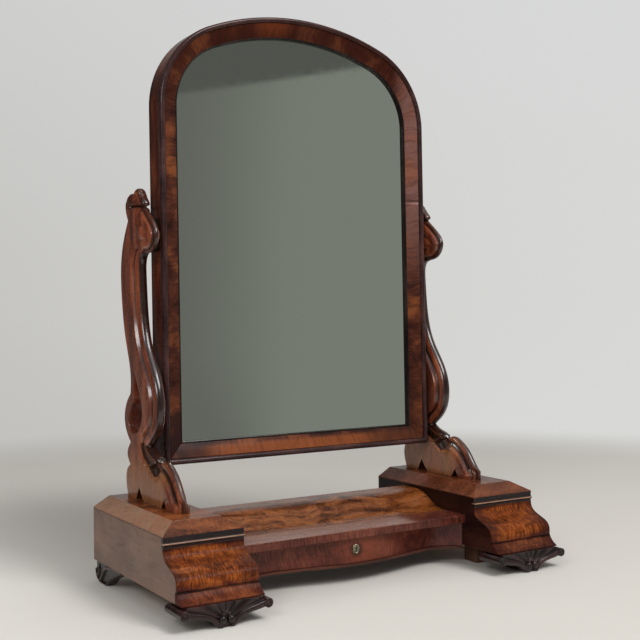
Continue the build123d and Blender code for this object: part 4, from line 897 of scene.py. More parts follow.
UPPER_LINE = joined(FRONT_LINES[:2])
SHAFT_LINE = FRONT_LINES[2]
FOOT_LINE = joined(FRONT_LINES[3:])
UPPER = along_front((0, 0.0), ((0, 0.0), KNOB), ((0, 0.97), KNOB), ((1, 0.06), VOLUTE), ((2, 0.0), VOLUTE))
SHAFT_ONLY = moulding(((0.0, SHAFT), (300.0, SHAFT)))
LOWER = along_front((3, 0.0), ((3, 0.0), NECK), ((3, 0.97), NECK), ((4, 0.12), FOOT), ((4, 0.84), FOOT),
                    ((4, 0.97), TOE), ((5, 1.0), TOE))
NECK_LENGTH = run_along(FRONT_LINES[3])[-1]
# Lines across the carving, as places behind the front plane and heights above the lid: where the volute
# and the shaft stop over what lies below them, the leaf's two edges, and the eared top of the knob.
VOLUTE_ENDS = (150, 206, 214, 226, 240, 300), (399, 396, 399, 412, 430, 470)
SHAFT_ENDS = (120, 190, 205, 224, 240, 300), (70, 88.5, 95, 88, 82, 70)
LEAF_TOP = (132, 140, 150, 160, 170, 181, 188), (61.5, 66, 67.5, 64.5, 60.5, 59.0, 58.4)
LEAF_LOW = (132, 140, 160.7, 175, 187), (61.0, 53.5, 40.5, 50.0, 58.4)
EAR_TOP = ((188, 193, 200, 208, 216, 228, 238, 247, 255, 260, 264),
           (476, 482, 489, 493, 494.5, 494.5, 495.5, 497.3, 494, 488, 478))
# The groove under the knob, the raised collar over the leaf, and the knob's ball.
RECESS, RECESS_DEPTH, RECESS_WIDTH = rise(((198, 471.5), (222, 474.5), (247, 475.5))), 6.5, 1.9
COLLAR = rise(((190, 60.5), (181, 61.5), (170, 63.5), (160, 68), (150, 72.5), (142, 73.5)))
COLLAR_HEIGHT, COLLAR_WIDTH = 1.8, 1.5
BALL_Y, BALL_UP, BALL_RADIUS, BALL_HEIGHT = 232, 493.5, 11.6, 10.0
VOLUTE_STEP, SHAFT_STEP, LEAF_DEPTH = 2.4, 1.6, 5.5
ROUNDED = (BACK_LINE, 1.6), (HOLE_LINE, 1.4)  # edges that are rounded over, and by which radius


def carved_knob(height, y, up, from_ball):
    """The support's top rounded over up to its ear line, with the knob's ball on it."""
    below = np.interp(y, *EAR_TOP) - up
    eased = SUPPORT_HALF * (0.35 + 0.65 * quarter_round(below / 5.0))
    height = np.where(up > 484, np.minimum(height, eased), height)
    ball = BALL_HEIGHT * np.sqrt(np.clip(1.0 - (from_ball / BALL_RADIUS) ** 2, 0, 1))
    return np.where(up > 480, np.maximum(ball, height * step(below + 1.0, 2.0)), height)


def support_relief(places):
    """Half thickness of the carved support at each place of its side view, depth behind its front, and
    painted shade.

    The distance to the front edge picks the depth in the moulding's profile; volute, shaft and foot have
    their own profiles, and stop at two curved lines. The recess under the knob and the leaf are cut in, the
    collar under the shaft stands out, and the back edge and the opening's edge are rounded over.
    """
    y, up = places[..., 0], places[..., 1] - LID_TOP
    upper, upper_depth, _ = looked_up(places, UPPER_LINE, *UPPER)
    shaft, shaft_depth, _ = looked_up(places, SHAFT_LINE, *SHAFT_ONLY)
    lower, lower_depth, lower_run = looked_up(places, FOOT_LINE, *LOWER)
    over_shaft = step(up - np.interp(y, *VOLUTE_ENDS), VOLUTE_STEP)
    over_foot = step(up - np.interp(y, *SHAFT_ENDS), SHAFT_STEP)
    height = lower + over_foot * (shaft - lower)
    height = height + over_shaft * (upper - height)
    depth = np.where(over_shaft > 0.5, upper_depth, np.where(over_foot > 0.5, shaft_depth, lower_depth))
    from_ball = np.hypot(y - BALL_Y, up - BALL_UP)
    height = carved_knob(height, y, up, from_ball)
    recess = RECESS_DEPTH * bell(nearest(places, RECESS)[0], RECESS_WIDTH)
    height = height - np.minimum(height * 0.75, recess)
    collar = COLLAR_HEIGHT * bell(nearest(places, COLLAR)[0], COLLAR_WIDTH)
    height = height + collar * step(12.9 - height, 0.8)
    leaf = step(np.minimum(np.interp(y, *LEAF_TOP) - up, up - np.interp(y, *LEAF_LOW)) - 1.0, 2.0)
    height = height - np.minimum(LEAF_DEPTH * leaf, 0.7 * height)
    for line, radius in ROUNDED:
        rounded = 1 - quarter_round(nearest(places, line)[0] / radius)
        height = height - np.minimum(radius, height) * rounded * 0.8

    # Painted shade: the cut-in leaf, the neck under the shaft's end, the mouldings' front edges and the
    # hollow round the ball; the flat cheeks are darker too.
    on_shaft = over_foot * (1 - over_shaft)
    neck = (1 - over_foot) * step(NECK_LENGTH - lower_run, 4.0) * step(23.0 - lower_depth, 3.0)
    lip = 0.75 * step(2.4 + 3.0 * over_shaft - depth, 1.2) + 0.3 * on_shaft * step(15.0 - depth, 1.5)
    flat = 0.3 * over_shaft * step(depth - 22.0, 2.0) + 0.2 * on_shaft * step(depth - 30.0, 4.0)
    under_ball = 0.65 * step(from_ball - 8.5, 2.0) * step(up - 470.0, 3.0)
    shade = np.max(np.stack([0.85 * leaf, 0.85 * neck, lip, flat, under_ball]), axis=0)
    return np.maximum(height, 0.0), depth, shade


RIB_STEP = 1.25  # about this far apart along the front line


def support_ribs():
    """Front and back ends of the support's ribs, from its top to where the foot begins."""
    stops = np.array([(run_of(FRONT_LINES, f), run_of(BACK_LINES, b)) for f, b in RIBS])
    counts = np.maximum(4, (np.diff(stops[:, 0]) / RIB_STEP).astype(int))
    shares = [np.linspace(i, i + 1, n, endpoint=False) for i, n in enumerate(counts)]
    share = np.concatenate(shares + [[len(counts)]])
    front = at_run(FRONT_LINE, np.interp(share, np.arange(len(stops)), stops[:, 0]))
    back = at_run(BACK_LINE, np.interp(share, np.arange(len(stops)), stops[:, 1]))
    front[-1], back[-1] = FRONT_LINES[3][-1], BACK_LINES[3][-1]
    return front, back


def between(first, last, shares):
    """Rows of places from each first end to its last end at the given shares."""
    return first[:, None, :] + shares[..., None] * (last - first)[:, None, :]


def column_shares(first, last, moulded=38.0, fine=52, coarse=8):
    """Shares across each rib: even small steps over the moulded width, then wider ones."""
    length = np.linalg.norm(last - first, axis=1)[:, None]
    width = np.minimum(moulded, 0.7 * length)
    head = np.linspace(0, 1, fine)[None, :] * width
    tail = width + np.linspace(0, 1, coarse + 1)[None, 1:] * (length - width)
    return np.concatenate([head, tail], axis=1) / np.maximum(length, 1e-9)


def opening_ends(front, back):
    """The opening's front and back edge on each rib; above and below it both lie on one line."""
    share = np.interp(front[:, 1], (BOTTOM[1], TIP[1]), (0.52, 0.60))[:, None]
    middle = front + share * (back - front)
    tip, low = (int(np.argmin(np.abs(middle[:, 1] - end[1]))) for end in (TIP, BOTTOM))
    rows = np.arange(len(front))
    for row, place, outside in ((tip, TIP, rows <= tip), (low, BOTTOM, rows >= low)):
        pull = np.exp(-np.abs(rows - row) / 10.0)[:, None]
        middle = np.where(outside[:, None], middle + pull * (place - middle[row]), middle)
    steps = np.linspace(0, 1, low - tip + 1)
    hole_front, hole_back = middle.copy(), middle.copy()
    hole_front[tip:low + 1] = along(HOLE_FRONT, steps)
    hole_back[tip:low + 1] = along(HOLE_BACK, steps)
    return hole_front, hole_back, tip, low


# How the carved faces take painted shade in their hollows and a painted highlight along their crests.
HOLLOW_FULL = 8.0  # this far below the rounded block counts as a full hollow
CREST_DEPTH, CREST_HALF = 8.0, 5.0


def both_faces(surface, middle, places):
    """The support's two carved faces over a grid of side view places, with painted shade in their hollows and
    a painted highlight on their crests.
    """
    height, depth, shade = support_relief(places)
    block = np.sqrt(np.clip(2 * SUPPORT_HALF * depth - depth ** 2, 0, None))
    block = np.where(depth < SUPPORT_HALF, block, SUPPORT_HALF)
    hollow_shade = np.maximum(np.clip((block - height) / HOLLOW_FULL, 0, 1), shade)
    crest_highlight = np.clip(1.0 - np.abs(depth - CREST_DEPTH) / CREST_HALF, 0, 1)
    for side in (-1, 1):
        points = placed(middle + side * height, places[..., 0], places[..., 1])
        surface.grid(points, np.stack([hollow_shade, crest_highlight], axis=-1))


def edge_strip(surface, middle, line, least_shade=0.0):
    """The strip across the support's thickness along one of its edges."""
    height, _, shade = support_relief(line)
    across = np.linspace(-1, 1, 7)[None, :]
    dark = np.maximum(shade, least_shade)[:, None] + 0.0 * across
    points = placed(middle + height[:, None] * across, line[:, :1], line[:, 1:])
    surface.grid(points, np.stack([dark, 0.0 * dark], axis=-1))


SOLE_CORNERS = 6  # this many of the underside's corners belong to the toe, the rest to the foot
FOOT_ROWS, TOE_ROWS = 44, 96
TOE_STOPS = (4, 0.0), (4, 0.30), (4, 0.62), (4, 0.80), (4, 0.97), (5, 1.0)
# Painted shade on the walls of the underside's small pointed arches.
NOTCH_SHADE = 0.95


def foot_places(top):
    """The foot's side view, a blend of its borders: last rib above, underside, front and back."""
    share = run_along(top) / run_along(top)[-1]
    heel = rise(UNDERSIDE)[SOLE_CORNERS:]
    corner_share = (heel[:, 0] - heel[0, 0]) / (heel[-1, 0] - heel[0, 0])
    columns = [int(np.argmin(np.abs(share - c))) for c in corner_share]
    base = np.stack([np.interp(np.arange(len(top)), columns, heel[:, i]) for i in range(2)], axis=1)
    t = np.linspace(0, 1, FOOT_ROWS)[:, None]
    right = along(BACK_LINES[4], t[:, 0])
    left = top[0] + t * (base[0] - top[0])
    bulge = (right - (top[-1] + t * (base[-1] - top[-1])))[:, None, :]
    t = t[..., None]
    return (1 - t) * top[None] + t * base[None] + share[None, :, None] * bulge, left, right, base


def toe_places(left):
    """The toe's side view, from its upper curve to the line down the foot's front and along the underside."""
    upper = joined(FRONT_LINES[4:])
    start = run_of(FRONT_LINES, TOE_STOPS[0])
    stops_up = [run_of(FRONT_LINES, stop) - start for stop in TOE_STOPS]
    lower = np.concatenate([left, rise(UNDERSIDE)[:SOLE_CORNERS][::-1]])
    run = run_along(lower)
    corner = run[FOOT_ROWS - 1]
    stops_low = (0.0, corner * 0.6, corner + 25.0, corner + 38.0, run[-1] - 14.0, run[-1])
    marks, share = np.linspace(0, 1, len(TOE_STOPS)), np.linspace(0, 1, TOE_ROWS)
    high = at_run(upper, np.interp(share, marks, stops_up))
    high[-1] = upper[-1]
    down = np.interp(share, marks, stops_low)
    low = np.stack([np.interp(down, run, lower[:, i]) for i in range(2)], axis=1)
    return between(high, low, column_shares(high, low, 24.0, 30)), low


def carved_support(name, middle, stands_for):
    """A support's two carved faces and its edges, on ribs between its front and back lines.

    One patch lies before the opening and one behind it, one fills the foot down to the underside, and one
    fills the toe between its upper curve and the underside.
    """
    front, back = support_ribs()
    hole_front, hole_back, tip, low = opening_ends(front, back)
    before = between(front, hole_front, column_shares(front, hole_front))
    behind = between(hole_back, back, np.linspace(0, 1, 24)[None, :])
    foot, left, right, base = foot_places(np.concatenate([before[-1], behind[-1][1:]]))
    toe, toe_low = toe_places(left)
    surface = Surface()
    both_faces(surface, middle, before)
    both_faces(surface, middle, behind)
    for line in (hole_front[tip:low + 1], hole_back[tip:low + 1], back):
        edge_strip(surface, middle, line)
    both_faces(surface, middle, foot)
    edge_strip(surface, middle, right)
    edge_strip(surface, middle, base, NOTCH_SHADE)
    both_faces(surface, middle, toe)
    edge_strip(surface, middle, toe_low, np.where(np.arange(TOE_ROWS) > 0, NOTCH_SHADE, 0.0))
    surface.make(name, "base", "carved_mahogany", finish["support"], stands_for, sharp=50.0)


for hand, middle in (("left", -SUPPORT_MIDDLE), ("right", SUPPORT_MIDDLE)):
    carved_support(hand + "_carved_support", middle, [hand + "_support"])


# ---- carved feet and keyhole plate ------------------------------------------------------
BRACKET_FRONT, BRACKET_BACK = -74.0, -20.0
BRACKET_HALF, BRACKET_TOP, BRACKET_CORNER, BRACKET_EASING = 65.2, 34.0, 26.0, 1.5
ARM_WIDTH, ARM_GROWTH, ARM_ROUND = 8.5, 1.5, 3.2
WEB_DEPTH, FAN_DEPTH, FAN_START, FAN_HEIGHT, FAN_GROOVES = 4.2, 2.2, 11.0, 8.0, 15.0
ROLL_Z, ROLL_RADIUS, ROLL_ROUND, ROLL_PROUD = 24.8, 7.0, 0.9, 1.0
SPIRAL_PITCH, SPIRAL_DEPTH, SPIRAL_WIDTH = 3.0, 1.3, 0.55
# Bosses and trefoil at the toe: place across, height, radius, and how far back the dome's top lies.
DOMES = ((6.5, 10.5, 6.0, -2.0), (-6.5, 10.5, 6.0, -2.0), (0.0, 20.0, 3.4, 1.6), (4.2, 17.6, 2.4, 2.0),
         (-4.2, 17.6, 2.4, 2.0))
SCROLL_FACE, SCROLL_THICK, SCROLL_TOP = 349.0, 18.0, 34.0
SCROLL_DEPTH, SCROLL_RIM, RIDGE_HALF = 3.4, 2.6, 2.8
EYE_Y, EYE_UP, EYE_HALF, EYE_TALL, EYE_GROOVE, EYE_RIM = 268.0, 17.0, 3.4, 9.0, 4.6, 1.22


def carved_slab(front, top, low, hollow_shade, back_shade):
    """A closed slab: carved front grid, then the top and low edges of its plain back, with capped ends."""
    body = np.concatenate([front, top[:, None], low[:, None]], axis=1)
    hollow = np.pad(hollow_shade, ((0, 0), (0, 2)), constant_values=back_shade)
    surface = Surface()
    surface.grid(body, np.stack([hollow, 0.0 * hollow], axis=-1), around=True)
    surface.cap(body[0])
    surface.cap(body[-1])
    return surface


def bracket_low_edge():
    """Half of the bracket's lower edge from the toe's middle out to the roll."""
    curve = smooth_line(((13.0, 0.0), (24.0, 9.9), (47.5, 16.3), (BRACKET_HALF, 19.8)), 80)
    return np.concatenate([[[0.0, 0.0]], curve])


def bracket_relief(x, z, low):
    """How far each place of the bracket's front is cut back, and how much painted shade its hollows take.

    A rounded arm follows the lower edge, two domed bosses and a small trefoil stand at the toe, and
    the web between is cut back with grooves that fan out from the bosses.
    """
    arm, _ = nearest(np.stack([np.abs(x), z], axis=-1), low[1:])
    arm = np.where(z < low[0, 1] + 1e-6, 0.0, arm)
    wide = ARM_WIDTH + ARM_GROWTH * np.clip((np.abs(x) - 30.0) / 25.0, 0, 1)
    across = np.clip(arm / wide * 2 - 1, -1, 1)
    band = ARM_ROUND * (1 - np.sqrt(1 - 0.96 * across ** 2))
    grooves = (0.5 - 0.5 * np.cos(np.arctan2(x, z - FAN_HEIGHT) * FAN_GROOVES)) ** 0.6
    web = WEB_DEPTH + FAN_DEPTH * (1 - grooves) * step(np.hypot(x, z - FAN_HEIGHT) - FAN_START, 3.0)
    cut = band + (web - band) * step(arm - wide, 1.6)
    # Painted shade on the cut-back web and in its grooves, along the arm's edge, and in a ring round each
    # dome.
    hollow_shade = np.where(arm > wide - 0.8, 0.45 + 0.4 * (1 - grooves), 0.1)
    hollow_shade = np.maximum(hollow_shade, 0.95 * bell(arm - wide, 1.0))
    for middle, height, radius, front in DOMES:
        away = np.hypot(x - middle, z - height) / radius
        dome = front + 0.75 * radius * (1 - np.sqrt(np.clip(1 - away ** 2, 0, 1)))
        cut = np.where(away < 1, np.minimum(cut, dome), cut)
        hollow_shade = np.where(away < 0.85, 0.05, np.where(away < 1.18, 0.9, hollow_shade))
    return cut, hollow_shade


def carved_bracket(name, middle, stands_for):
    """The front bracket foot: its relief front, plain back and edges, and a roll at each end."""
    low = bracket_low_edge()
    x = np.linspace(-BRACKET_HALF, BRACKET_HALF, 220)[:, None]
    bottom = np.interp(np.abs(x), low[:, 0], low[:, 1])
    corner = (BRACKET_HALF - 6.0, BRACKET_HALF), (BRACKET_TOP, BRACKET_CORNER)
    top = np.interp(np.abs(x), *corner)
    z = bottom + np.linspace(0, 1, 46)[None, :] * (top - bottom)
    cut, hollow_shade = bracket_relief(np.broadcast_to(x, z.shape), z, low)
    cut = cut + BRACKET_EASING * (1 - quarter_round((z - bottom) / BRACKET_EASING))
    back, under = (placed(x + middle, BRACKET_BACK, edge)[:, 0] for edge in (top, bottom))
    surface = carved_slab(placed(x + middle, BRACKET_FRONT + cut, z), back, under, hollow_shade, 0.3)
    for side in (-1, 1):
        carved_roll(surface, middle + side * BRACKET_HALF, side)
    surface.make(name, "base", "carved_mahogany", finish["carved"], stands_for, merge=0.000002, sharp=40.0)


def carved_roll(surface, x_middle, side):
    """A closed roll along Y: rounded rims, and a spiral groove cut into its front end.

    The groove's depth is a bell curve over the distance to an even spiral in radius and turn.
    """
    inner = ROLL_RADIUS - ROLL_ROUND
    turn = np.linspace(0, 2 * math.pi, 72, endpoint=False)[None, :]
    radius = np.linspace(0, inner, 26)
    half = SPIRAL_PITCH / 2
    from_groove = (radius[:, None] - SPIRAL_PITCH * turn / (2 * math.pi) + half) % SPIRAL_PITCH - half
    groove = SPIRAL_DEPTH * bell(from_groove, SPIRAL_WIDTH) * np.clip(radius[:, None] / 1.5, 0, 1)
    groove *= np.clip((inner - radius[:, None]) / 0.6, 0, 1)
    front = BRACKET_FRONT - ROLL_PROUD
    rim = np.linspace(0, math.pi / 2, 6)[1:]
    rim_radius, rim_back = inner + ROLL_ROUND * np.sin(rim), ROLL_ROUND * (1 - np.cos(rim))
    length = np.linspace(BRACKET_FRONT, BRACKET_BACK - ROLL_ROUND, 12)
    end = BRACKET_BACK - rim_back[::-1]
    radii = np.concatenate([radius, rim_radius, np.full(12, ROLL_RADIUS), rim_radius[::-1], radius[::-1]])
    radii = radii[:, None]
    plain = np.concatenate([front + rim_back, length, end, np.full(26, BRACKET_BACK)])[:, None]
    y = np.concatenate([front + groove, np.broadcast_to(plain, (len(plain), turn.size))])
    # The roll is a little darker all over, with painted shade down its spiral groove.
    hollow = np.full(y.shape, 0.62)
    hollow[:26] = 0.25 + 0.7 * np.clip(groove, 0, 1)
    points = placed(x_middle + side * radii * np.cos(turn), y, ROLL_Z + radii * np.sin(turn))
    surface.grid(points, np.stack([hollow, 0 * hollow], axis=-1), around=True)


def scroll_low_edge():
    """The scroll foot's underside from its heel to the slim toe's end."""
    heel = smooth_line(((281.0, 17.0), (278.6, 9.5), (272.0, 3.5), (264.0, 0.8), (257.0, 0.0)), 30)
    toe = smooth_line(((237.0, 0.0), (229.0, 3.2), (223.0, 8.0), (201.0, 19.0), (169.0, 31.0)), 60)
    return np.concatenate([heel, toe])


RIDGE = smooth_line((
    (266.0, 1.0), (257.0, 8.0), (248.0, 18.0), (240.0, 25.5), (226.0, 29.5), (169.0, 32.5)), 60)


def scroll_relief(places, low):
    """How deep the scroll foot's outer face is cut, and how much painted shade it takes where it is cut down.

    A rim follows the underside, a pointed eye stands in a deep groove at the back, and a rounded ridge
    climbs from the heel to the top and runs forwards; the ground between is cut down.
    """
    y, z = places[..., 0], places[..., 1]
    rim, ridge = nearest(places, low)[0], nearest(places, RIDGE)[0]
    eye = np.hypot((y - EYE_Y) / (EYE_HALF + 0.16 * (z - 16.0)), (z - EYE_UP) / EYE_TALL)
    beside = SCROLL_DEPTH * step(ridge - RIDGE_HALF, 1.8) + 0.02 * ridge ** 2 * (ridge < RIDGE_HALF)
    cut = np.minimum(SCROLL_DEPTH * step(rim - SCROLL_RIM, 1.6), beside)
    groove = EYE_GROOVE * bell(eye - EYE_RIM, 0.2)
    cut = np.where(eye < 1, 0.6 + 2.2 * eye ** 2, np.maximum(cut, groove))
    return cut + 0.8 * bell(rim, 0.9), np.clip(cut / 4.0, 0, 1)


def carved_scroll(name, side, stands_for):
    """The back scroll foot: relief on its outer face, plain inner face, edges between."""
    low = scroll_low_edge()
    edge = along(low, np.linspace(0, 1, 150))
    top = np.stack([edge[:, 0], np.full(len(edge), SCROLL_TOP)], axis=1)
    places = between(edge, top, np.linspace(0, 1, 50)[None, :])
    cut, hollow_shade = scroll_relief(places, low)
    outer = placed(side * (SCROLL_FACE - cut), places[..., 0], places[..., 1])
    inner_top, inner_low = (placed(side * (SCROLL_FACE - SCROLL_THICK), *line.T) for line in (top, edge))
    surface = carved_slab(outer, inner_top, inner_low, hollow_shade, 0.0)
    surface.make(name, "base", "carved_mahogany", finish["carved"], stands_for, merge=0.000002, sharp=40.0)


for hand, side in (("left", -1), ("right", 1)):
    carved_bracket(hand + "_carved_bracket", side * PEDESTAL_MIDDLE, [hand + "_front_bracket_foot"])
for hand, side in (("left", -1), ("right", 1)):
    carved_scroll(hand + "_carved_scroll_foot", side, [hand + "_scroll_foot"])


PLATE_RINGS, PLATE_SPOKES = 60, 96
PLATE_HEIGHT, RIM_HEIGHT, RIM_PLACE, RIM_WIDTH = 0.35, 0.85, 0.80, 0.13
KEY_UP, KEY_RADIUS, SLOT_HALF, SLOT_FLARE, SLOT_LOW = 1.4, 1.7, 0.8, 0.12, -4.4
HOLE_FLOOR = 0.04


def keyhole_oval(name):
    """The oval keyhole plate on rings and spokes: a round raised rim, a dished middle, and a keyhole cut in.

    The keyhole is a circle joined to a slot that widens downwards; its depth is a steep step at its edge.
    """
    low, high = (np.array(corner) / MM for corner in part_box("escutcheon"))
    centre, half = (low + high) / 2, (high - low) / 2
    ring = np.linspace(0, 1, PLATE_RINGS)[:, None]
    turn = np.linspace(0, 2 * math.pi, PLATE_SPOKES, endpoint=False)[None, :]
    across, up = half[0] * ring * np.cos(turn), half[2] * ring * np.sin(turn)
    raised = PLATE_HEIGHT + RIM_HEIGHT * bell(ring - RIM_PLACE, RIM_WIDTH)
    raised = raised * np.sqrt(np.clip(1 - np.clip((ring - 0.9) / 0.1, 0, 1) ** 2, 0.0004, 1))
    circle = np.hypot(across, up - KEY_UP) - KEY_RADIUS
    slot_edge = np.abs(across) - (SLOT_HALF + SLOT_FLARE * (KEY_UP - up))
    slot = np.maximum(slot_edge, np.maximum(up - KEY_UP, SLOT_LOW - up))
    hole = step(-np.minimum(circle, slot), 0.35)
    raised = raised * (1 - hole) + HOLE_FLOOR * hole
    front = np.stack([centre[0] + across, high[1] - raised, centre[2] + up], axis=-1)
    back = np.stack([front[::-1, :, 0], np.full_like(across, high[1]), front[::-1, :, 2]], axis=-1)
    # The keyhole's opening carries its painted shade in the mesh's own map.
    hollow = np.concatenate([hole, 0.0 * hole])
    surface = Surface()
    surface.grid(np.concatenate([front, back]) * MM, np.stack([hollow, 0.0 * hollow], axis=-1), around=True)
    surface.make(name, "drawer", "brass", finish["keyhole_plate"], ["escutcheon"], merge=0.000001, sharp=50.0)


keyhole_oval("carved_keyhole_oval")


# ---- finishes on the nodes kept from the solids ------------------------------------------
KEPT = {
    "lid_left": "left_lid", "lid_right": "right_lid", "ogee_left": "left_ogee_front",
    "ogee_right": "right_ogee_front", "splay_left": "left_base_splay", "splay_right": "right_base_splay",
    "platform": "platform_top", "rail": "platform_front_rail", "drawer_front": "drawer_front",
    "side": "left_outer_side right_outer_side", "inner_side": "left_inner_side right_inner_side",
    "fascia": "left_fascia_moulding right_fascia_moulding", "plate": "mirror_glass",
    "stile": "mirror_left_stile mirror_right_stile mirror_bottom_rail mirror_arch",
    "pine_x": "left_case_back right_case_back drawer_stops platform_back",
    "pine_y": "left_case_bottom right_case_bottom left_drawer_guide right_drawer_guide",
    "pine_z": "glazing_blocks mirror_backboard", "block": "left_block_feet right_block_feet",
    "drawer_floor": "platform_bottom", "oak_x": "drawer_back drawer_bottom",
    "oak_y": "left_drawer_side right_drawer_side", "dark_brass": "pivot_plates",
    "brass": "left_pivot_pin right_pivot_pin left_pivot_bush right_pivot_bush lock_case lock_bolt",
    "steel": "pivot_plate_screws backboard_screws support_screws lock_screws",
}
for kind, names in KEPT.items():
    for name in names.split():
        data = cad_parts[name].data
        data.materials.clear()
        data.materials.append(finish[kind])


# ---- floor, backdrop, lamps and camera ---------------------------------------------------
# sRGB tones: the floor's pair are its clouds, the other pairs go from left to right. Distances in metres.
FLOOR_TONES = (213, 209, 202), (219, 215, 208)
# Painted shade to the floor's back left, painted light to its left and in a pool at its left back, and a
# painted shadow near the object.
FLOOR_BACK_SHADE, FLOOR_LEFT_LIGHT, FLOOR_LIGHT_POOL = (196, 193, 187), (236, 232, 226), (252, 249, 243)
SHADED_TONE, SHADED_MIDDLE, SHADED_REACH, SHADED_SHARE = (150, 145, 139), (-0.05, 0.55, 0.0), (0.75, 0.1), 0.4
FLOOR_FADES_OUT = (1.5, 2.3)
BACKDROP_LOW = (194, 193, 190), (216, 216, 214)
BACKDROP_HIGH = (206, 206, 205), (216, 217, 217)
DIM_LEFT = (92, 88, 84)
ROOM_TONES = (104, 106, 100), (126, 130, 122)
UPPER_ROOM, OVERHEAD = (86, 88, 83), (176, 176, 176)
BESIDE = (74, 70, 67), (150, 150, 148)
BEHIND = (66, 61, 58), (180, 180, 178)
AMBIENT = (0.43, 0.43, 0.43, 1.0)
FLOOR_DROP, FLOOR_REACH = 0.0003, 60.0


def backdrop_tone(tree, heading, tones):
    """The pale backdrop's left hand tone, going over into its right hand one."""
    return two_tones(tree, remap(tree, heading, 0.05, 0.85), *tones)


def room_tone(tree, heading):
    """The dim room in front as gloss sees it, a little lighter towards the right."""
    return two_tones(tree, remap(tree, heading, 0.40, 0.52), *ROOM_TONES)


def floor_colour(tree, place, x, y):
    """Clouded pale floor with painted shade towards the back left, painted light to the left and in a pool at
    the left back, and a painted shadow near the object.
    """
    colour = two_tones(tree, noise(tree, place, 1.6, 3.0, 0.5), *FLOOR_TONES)
    back = remap(tree, maths(tree, "SUBTRACT", y, times(tree, x, 0.5)), 0.1, 1.1)
    colour = toned(tree, times(tree, back, 0.15), colour, FLOOR_BACK_SHADE)
    colour = toned(tree, remap(tree, x, 0.0, -1.0), colour, FLOOR_LEFT_LIGHT)
    shaded = remap(tree, vector_maths(tree, "DISTANCE", place, SHADED_MIDDLE)["Value"], *SHADED_REACH)
    colour = toned(tree, times(tree, shaded, SHADED_SHARE), colour, SHADED_TONE)
    bright = times(tree, remap(tree, y, -0.1, 0.5), remap(tree, x, -0.2, -0.8))
    return toned(tree, bright, colour, FLOOR_LIGHT_POOL)


def floor_material():
    """Pale floor that fades into the backdrop's own tone further away; gloss sees its left and front dim."""
    material, tree, shader = new_material("pale_floor")
    place = object_place(tree)
    x, y, _ = parts(tree, place)
    glossy = tree.nodes.new("ShaderNodeLightPath").outputs["Is Glossy Ray"]
    dim_left = times(tree, glossy, remap(tree, x, -0.42, -0.8))
    dim_front = times(tree, glossy, remap(tree, y, -0.8, -1.4))
    shader.inputs["Roughness"].default_value = 0.7
    shader.inputs["Specular IOR Level"].default_value = 0.1
    feed(tree, shader.inputs["Base Color"], toned(tree, dim_left, floor_colour(tree, place, x, y), DIM_LEFT))
    heading, _, _ = parts(tree, vector_maths(tree, "NORMALIZE", place)[0])
    backdrop = toned(tree, dim_left, backdrop_tone(tree, heading, BACKDROP_LOW), DIM_LEFT)
    shade = blend_colour(tree, dim_front, backdrop, room_tone(tree, heading))
    glow = node(tree, "ShaderNodeEmission", in_Color=shade, in_Strength=1.0)
    far = remap(tree, vector_maths(tree, "LENGTH", place)["Value"], *FLOOR_FADES_OUT)
    mix = node(tree, "ShaderNodeMixShader", in_0=maths(tree, "MAXIMUM", far, dim_front),
               in_1=shader.outputs[0], in_2=glow.outputs[0])
    feed(tree, tree.nodes["Material Output"].inputs["Surface"], mix.outputs[0])
    return material


def lay_floor():
    """A round disc of rings and spokes; the world goes on behind it in the same tone."""
    rings = np.concatenate([[0.0], np.geomspace(0.3, FLOOR_REACH, 40)])
    turn = np.linspace(0, 2 * math.pi, 65)
    x = rings[:, None] * np.cos(turn)[None, :]
    y = rings[:, None] * np.sin(turn)[None, :]
    points = np.stack([x, y, np.full_like(x, -FLOOR_DROP)], axis=-1)
    mesh = bpy.data.meshes.new("pale_floor")
    mesh.from_pydata(points.reshape(-1, 3).tolist(), [], grid_faces(*x.shape).tolist())
    mesh.materials.append(floor_material())
    floor = bpy.data.objects.new("pale_floor", mesh)
    bpy.context.scene.collection.objects.link(floor)


def glossy_room(tree, x, y, z):
    """What gloss sees: a dim room in front, darker in its upper part, and paler sides, top and back."""
    height = maths(tree, "SUBTRACT", z, times(tree, x, 0.14))
    room = toned(tree, remap(tree, height, 0.178, 0.183), room_tone(tree, x), UPPER_ROOM)
    turned = remap(tree, x, -0.35, 0.45)
    above = toned(tree, remap(tree, z, 0.35, 0.80), two_tones(tree, turned, *BESIDE), OVERHEAD)
    around = blend_colour(tree, remap(tree, y, -0.1, 0.35), above, two_tones(tree, turned, *BEHIND))
    ahead = times(tree, remap(tree, y, -0.35, -0.60), remap(tree, z, 0.70, 0.45))
    return blend_colour(tree, ahead, around, room)


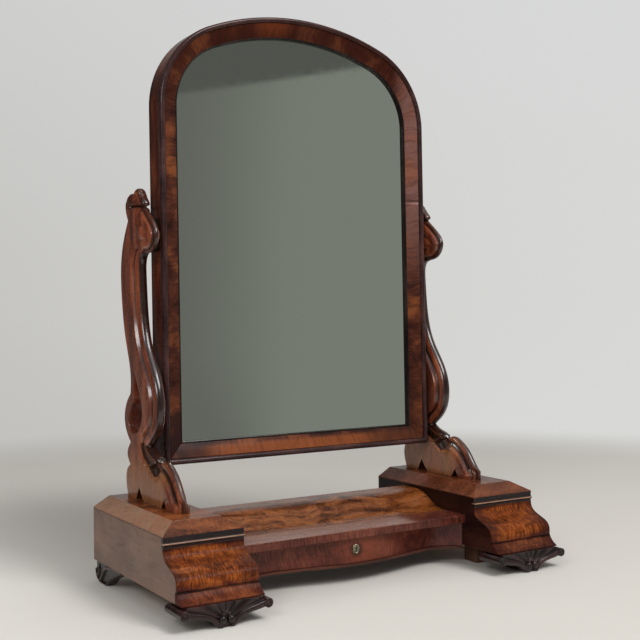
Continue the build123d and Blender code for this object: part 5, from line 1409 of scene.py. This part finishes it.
def light_world():
    """Soft all-round light; the eye sees a pale backdrop, and gloss a dim room."""
    world = bpy.data.worlds.new("studio")
    bpy.context.scene.world = world
    world.use_nodes = True
    tree = world.node_tree
    tree.nodes.clear()
    x, y, z = parts(tree, tree.nodes.new("ShaderNodeTexCoord").outputs["Generated"])
    rays = tree.nodes.new("ShaderNodeLightPath").outputs
    seen = blend_colour(tree, remap(tree, z, 0.0, 0.35), backdrop_tone(tree, x, BACKDROP_LOW),
                        backdrop_tone(tree, x, BACKDROP_HIGH))
    colour = blend_colour(tree, rays["Is Glossy Ray"], AMBIENT, glossy_room(tree, x, y, z))
    colour = blend_colour(tree, rays["Is Camera Ray"], colour, seen)
    background = node(tree, "ShaderNodeBackground", in_Color=colour)
    node(tree, "ShaderNodeOutputWorld", in_Surface=background.outputs[0])


# Name, place, target, size and power of each lamp, in metres and watts.
LAMPS = (
    ("key", (1.0, -2.3, 3.1), (0, 0, 0.4), 1.5, 74.0),
    ("overhead", (0.2, -0.9, 3.0), (0, 0, 0.2), 1.8, 10.0),
    ("left_fill", (-2.3, -1.7, 1.9), (0, 0, 0.4), 0.9, 24.0),
)


def hang_lamp(name, place, target, size, power):
    """A soft square lamp turned towards the target."""
    data = bpy.data.lights.new(name, "AREA")
    data.size = size
    data.energy = power
    lamp = bpy.data.objects.new(name, data)
    lamp.location = place
    lamp.rotation_euler = (Vector(target) - Vector(place)).to_track_quat("-Z", "Y").to_euler()
    bpy.context.scene.collection.objects.link(lamp)


CAMERA_PLACE = (-952.07, -1394.93, 440.96)
CAMERA_YAW, CAMERA_PITCH, CAMERA_ROLL = 0.555840, -0.009549, -0.006443
SENSOR_WIDTH, LENS = 36.0, 59.7725


def set_camera():
    """The camera where the photograph was taken from, from the solved yaw, pitch and roll."""
    level = math.cos(CAMERA_PITCH)
    forward = Vector((math.sin(CAMERA_YAW) * level, math.cos(CAMERA_YAW) * level, math.sin(CAMERA_PITCH)))
    right = Vector((math.cos(CAMERA_YAW), -math.sin(CAMERA_YAW), 0))
    up = right.cross(forward)
    rolled_right = math.cos(CAMERA_ROLL) * right + math.sin(CAMERA_ROLL) * up
    rolled_up = -math.sin(CAMERA_ROLL) * right + math.cos(CAMERA_ROLL) * up
    data = bpy.data.cameras.new("view")
    data.sensor_width = SENSOR_WIDTH
    data.lens = LENS
    camera = bpy.data.objects.new("view", data)
    turn = Matrix((rolled_right, rolled_up, -forward)).transposed().to_4x4()
    place = Vector(CAMERA_PLACE) * MM + Vector((0.0, FRONT_PLANE, 0.0))
    camera.matrix_world = Matrix.Translation(place) @ turn
    bpy.context.scene.collection.objects.link(camera)
    bpy.context.scene.camera = camera


lay_floor()
light_world()
for lamp in LAMPS:
    hang_lamp(*lamp)
set_camera()
bpy.context.scene.view_settings.view_transform = "Standard"
